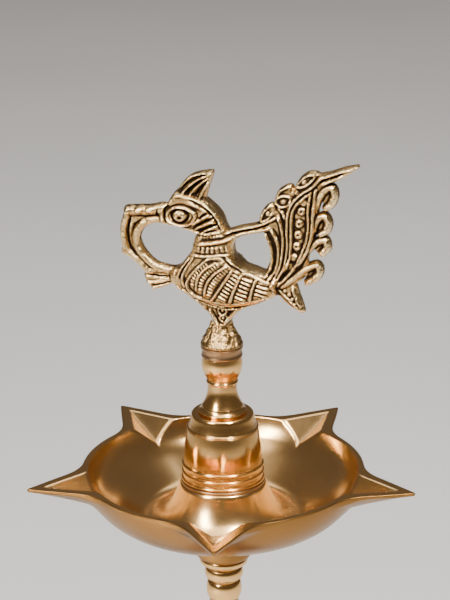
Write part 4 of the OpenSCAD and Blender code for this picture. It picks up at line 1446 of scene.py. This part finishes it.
fuse(bird, pedestal)
bird.data.materials.clear()
bird.data.materials.append(CAST_METAL)
bird.data.shade_smooth()
finish_piece(bird, "bird_body", "bird_finial")
print(bird.name, len(bird.data.polygons), "faces")

# %% [markdown]
# ## Threaded studs
# The sections screw together on studs. A stud starts as a plain turned pin; a second tree then
# presses a helical groove into it: each point moves in by the depth of a wave that climbs one
# pitch for each turn, and the wave fades out at both ends as a die leaves it.

# %% Studs
def thread_tree():
    """Presses a helical groove into a plain pin, outside its core."""
    tree = bpy.data.node_groups.new("Cut_thread", "GeometryNodeTree")
    tree.is_modifier = True
    for name, kind in (("Pin", "Geometry"), ("Pitch", "Float"), ("Depth", "Float"), ("Core", "Float"),
                       ("Bottom", "Float"), ("Top", "Float"), ("Metal", "Material")):
        group_input(tree, name, "NodeSocket" + kind)
    tree.interface.new_socket("Stud", in_out="OUTPUT", socket_type="NodeSocketGeometry")
    add = linker(tree)
    given = add("NodeGroupInput").outputs
    pitch = given["Pitch"]
    spot = add("GeometryNodeInputPosition").outputs[0]
    part = add("ShaderNodeSeparateXYZ", Vector=spot).outputs
    turns_up = maths(add, "DIVIDE", part["Z"], pitch)
    turns_round = maths(add, "DIVIDE", maths(add, "ARCTAN2", part["Y"], part["X"]), math.tau)
    wave = maths(add, "PINGPONG", maths(add, "SUBTRACT", turns_up, turns_round), 0.5)
    groove = ranged(add, wave, 0.08, 0.42)
    above = maths(add, "SUBTRACT", part["Z"], given["Bottom"])
    below = maths(add, "SUBTRACT", given["Top"], part["Z"])
    rise = maths(add, "DIVIDE", above, pitch, clamp=True)
    fall = maths(add, "DIVIDE", below, pitch, clamp=True)
    cut = maths(add, "MULTIPLY", maths(add, "MULTIPLY", groove, rise), fall)
    cut = maths(add, "MULTIPLY", cut, given["Depth"])
    flat = add("ShaderNodeVectorMath", {"operation": "MULTIPLY"}, _0=spot,
               _1=(-1.0, -1.0, 0.0)).outputs[0]
    inward = add("ShaderNodeVectorMath", {"operation": "NORMALIZE"}, _0=flat).outputs[0]
    push = add("ShaderNodeVectorMath", {"operation": "SCALE"}, _0=inward, Scale=cut).outputs[0]
    radius = add("ShaderNodeVectorMath", {"operation": "LENGTH"}, _0=flat).outputs["Value"]
    side = add("FunctionNodeCompare", {"data_type": "FLOAT", "operation": "GREATER_THAN"}, _0=radius,
               _1=given["Core"]).outputs[0]
    moved = add("GeometryNodeSetPosition", Geometry=given["Pin"], Selection=side, Offset=push).outputs[0]
    dark = add("GeometryNodeStoreNamedAttribute", {"data_type": "FLOAT", "domain": "POINT"},
               Geometry=moved, Name="groove", Value=groove).outputs[0]
    real = add("GeometryNodeRealizeInstances", Geometry=dark).outputs[0]
    metal = add("GeometryNodeSetMaterial", Geometry=real, Material=given["Metal"]).outputs[0]
    add("NodeGroupOutput", Stud=metal)
    return tree


THREAD = thread_tree()
LARGE_PITCH = 1.5
SMALL_PITCH = 1.0
THREAD_DEPTH = 0.6
CORE_SHARE = 0.7
STUDS = {
    "foot_stud": ("base", LARGE_PITCH),
    "stem_stud": ("lower_stem_body", LARGE_PITCH),
    "stem_top_stud": ("upper_stem_body", LARGE_PITCH),
    "pan_stud": ("pan_body", LARGE_PITCH),
    "neck_stud": ("column_body", SMALL_PITCH),
    "bird_stud": ("column_body", SMALL_PITCH),
}
for node, (body, pitch) in STUDS.items():
    low, high = height_of(node)
    r, length = radius_of(node), high - low
    ease_off = r / 5
    pin = [(r - ease_off, 0), (r, ease_off), (r, length - ease_off), (r - ease_off, length)]
    stud = turn(node + "_threaded", drilled(pin), low, STUD_METAL, steps=64, longest=pitch / 12)
    keep_result(stud, THREAD, {
        "Pitch": pitch * MM, "Depth": THREAD_DEPTH * pitch * MM, "Core": r * CORE_SHARE * MM,
        "Bottom": low * MM, "Top": high * MM, "Metal": STUD_METAL})
    finish_piece(stud, body, node)

# %% Finish
size = {"cad": [list(c) for c in cad_box], "visual": [list(c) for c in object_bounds()]}
print("size", size)
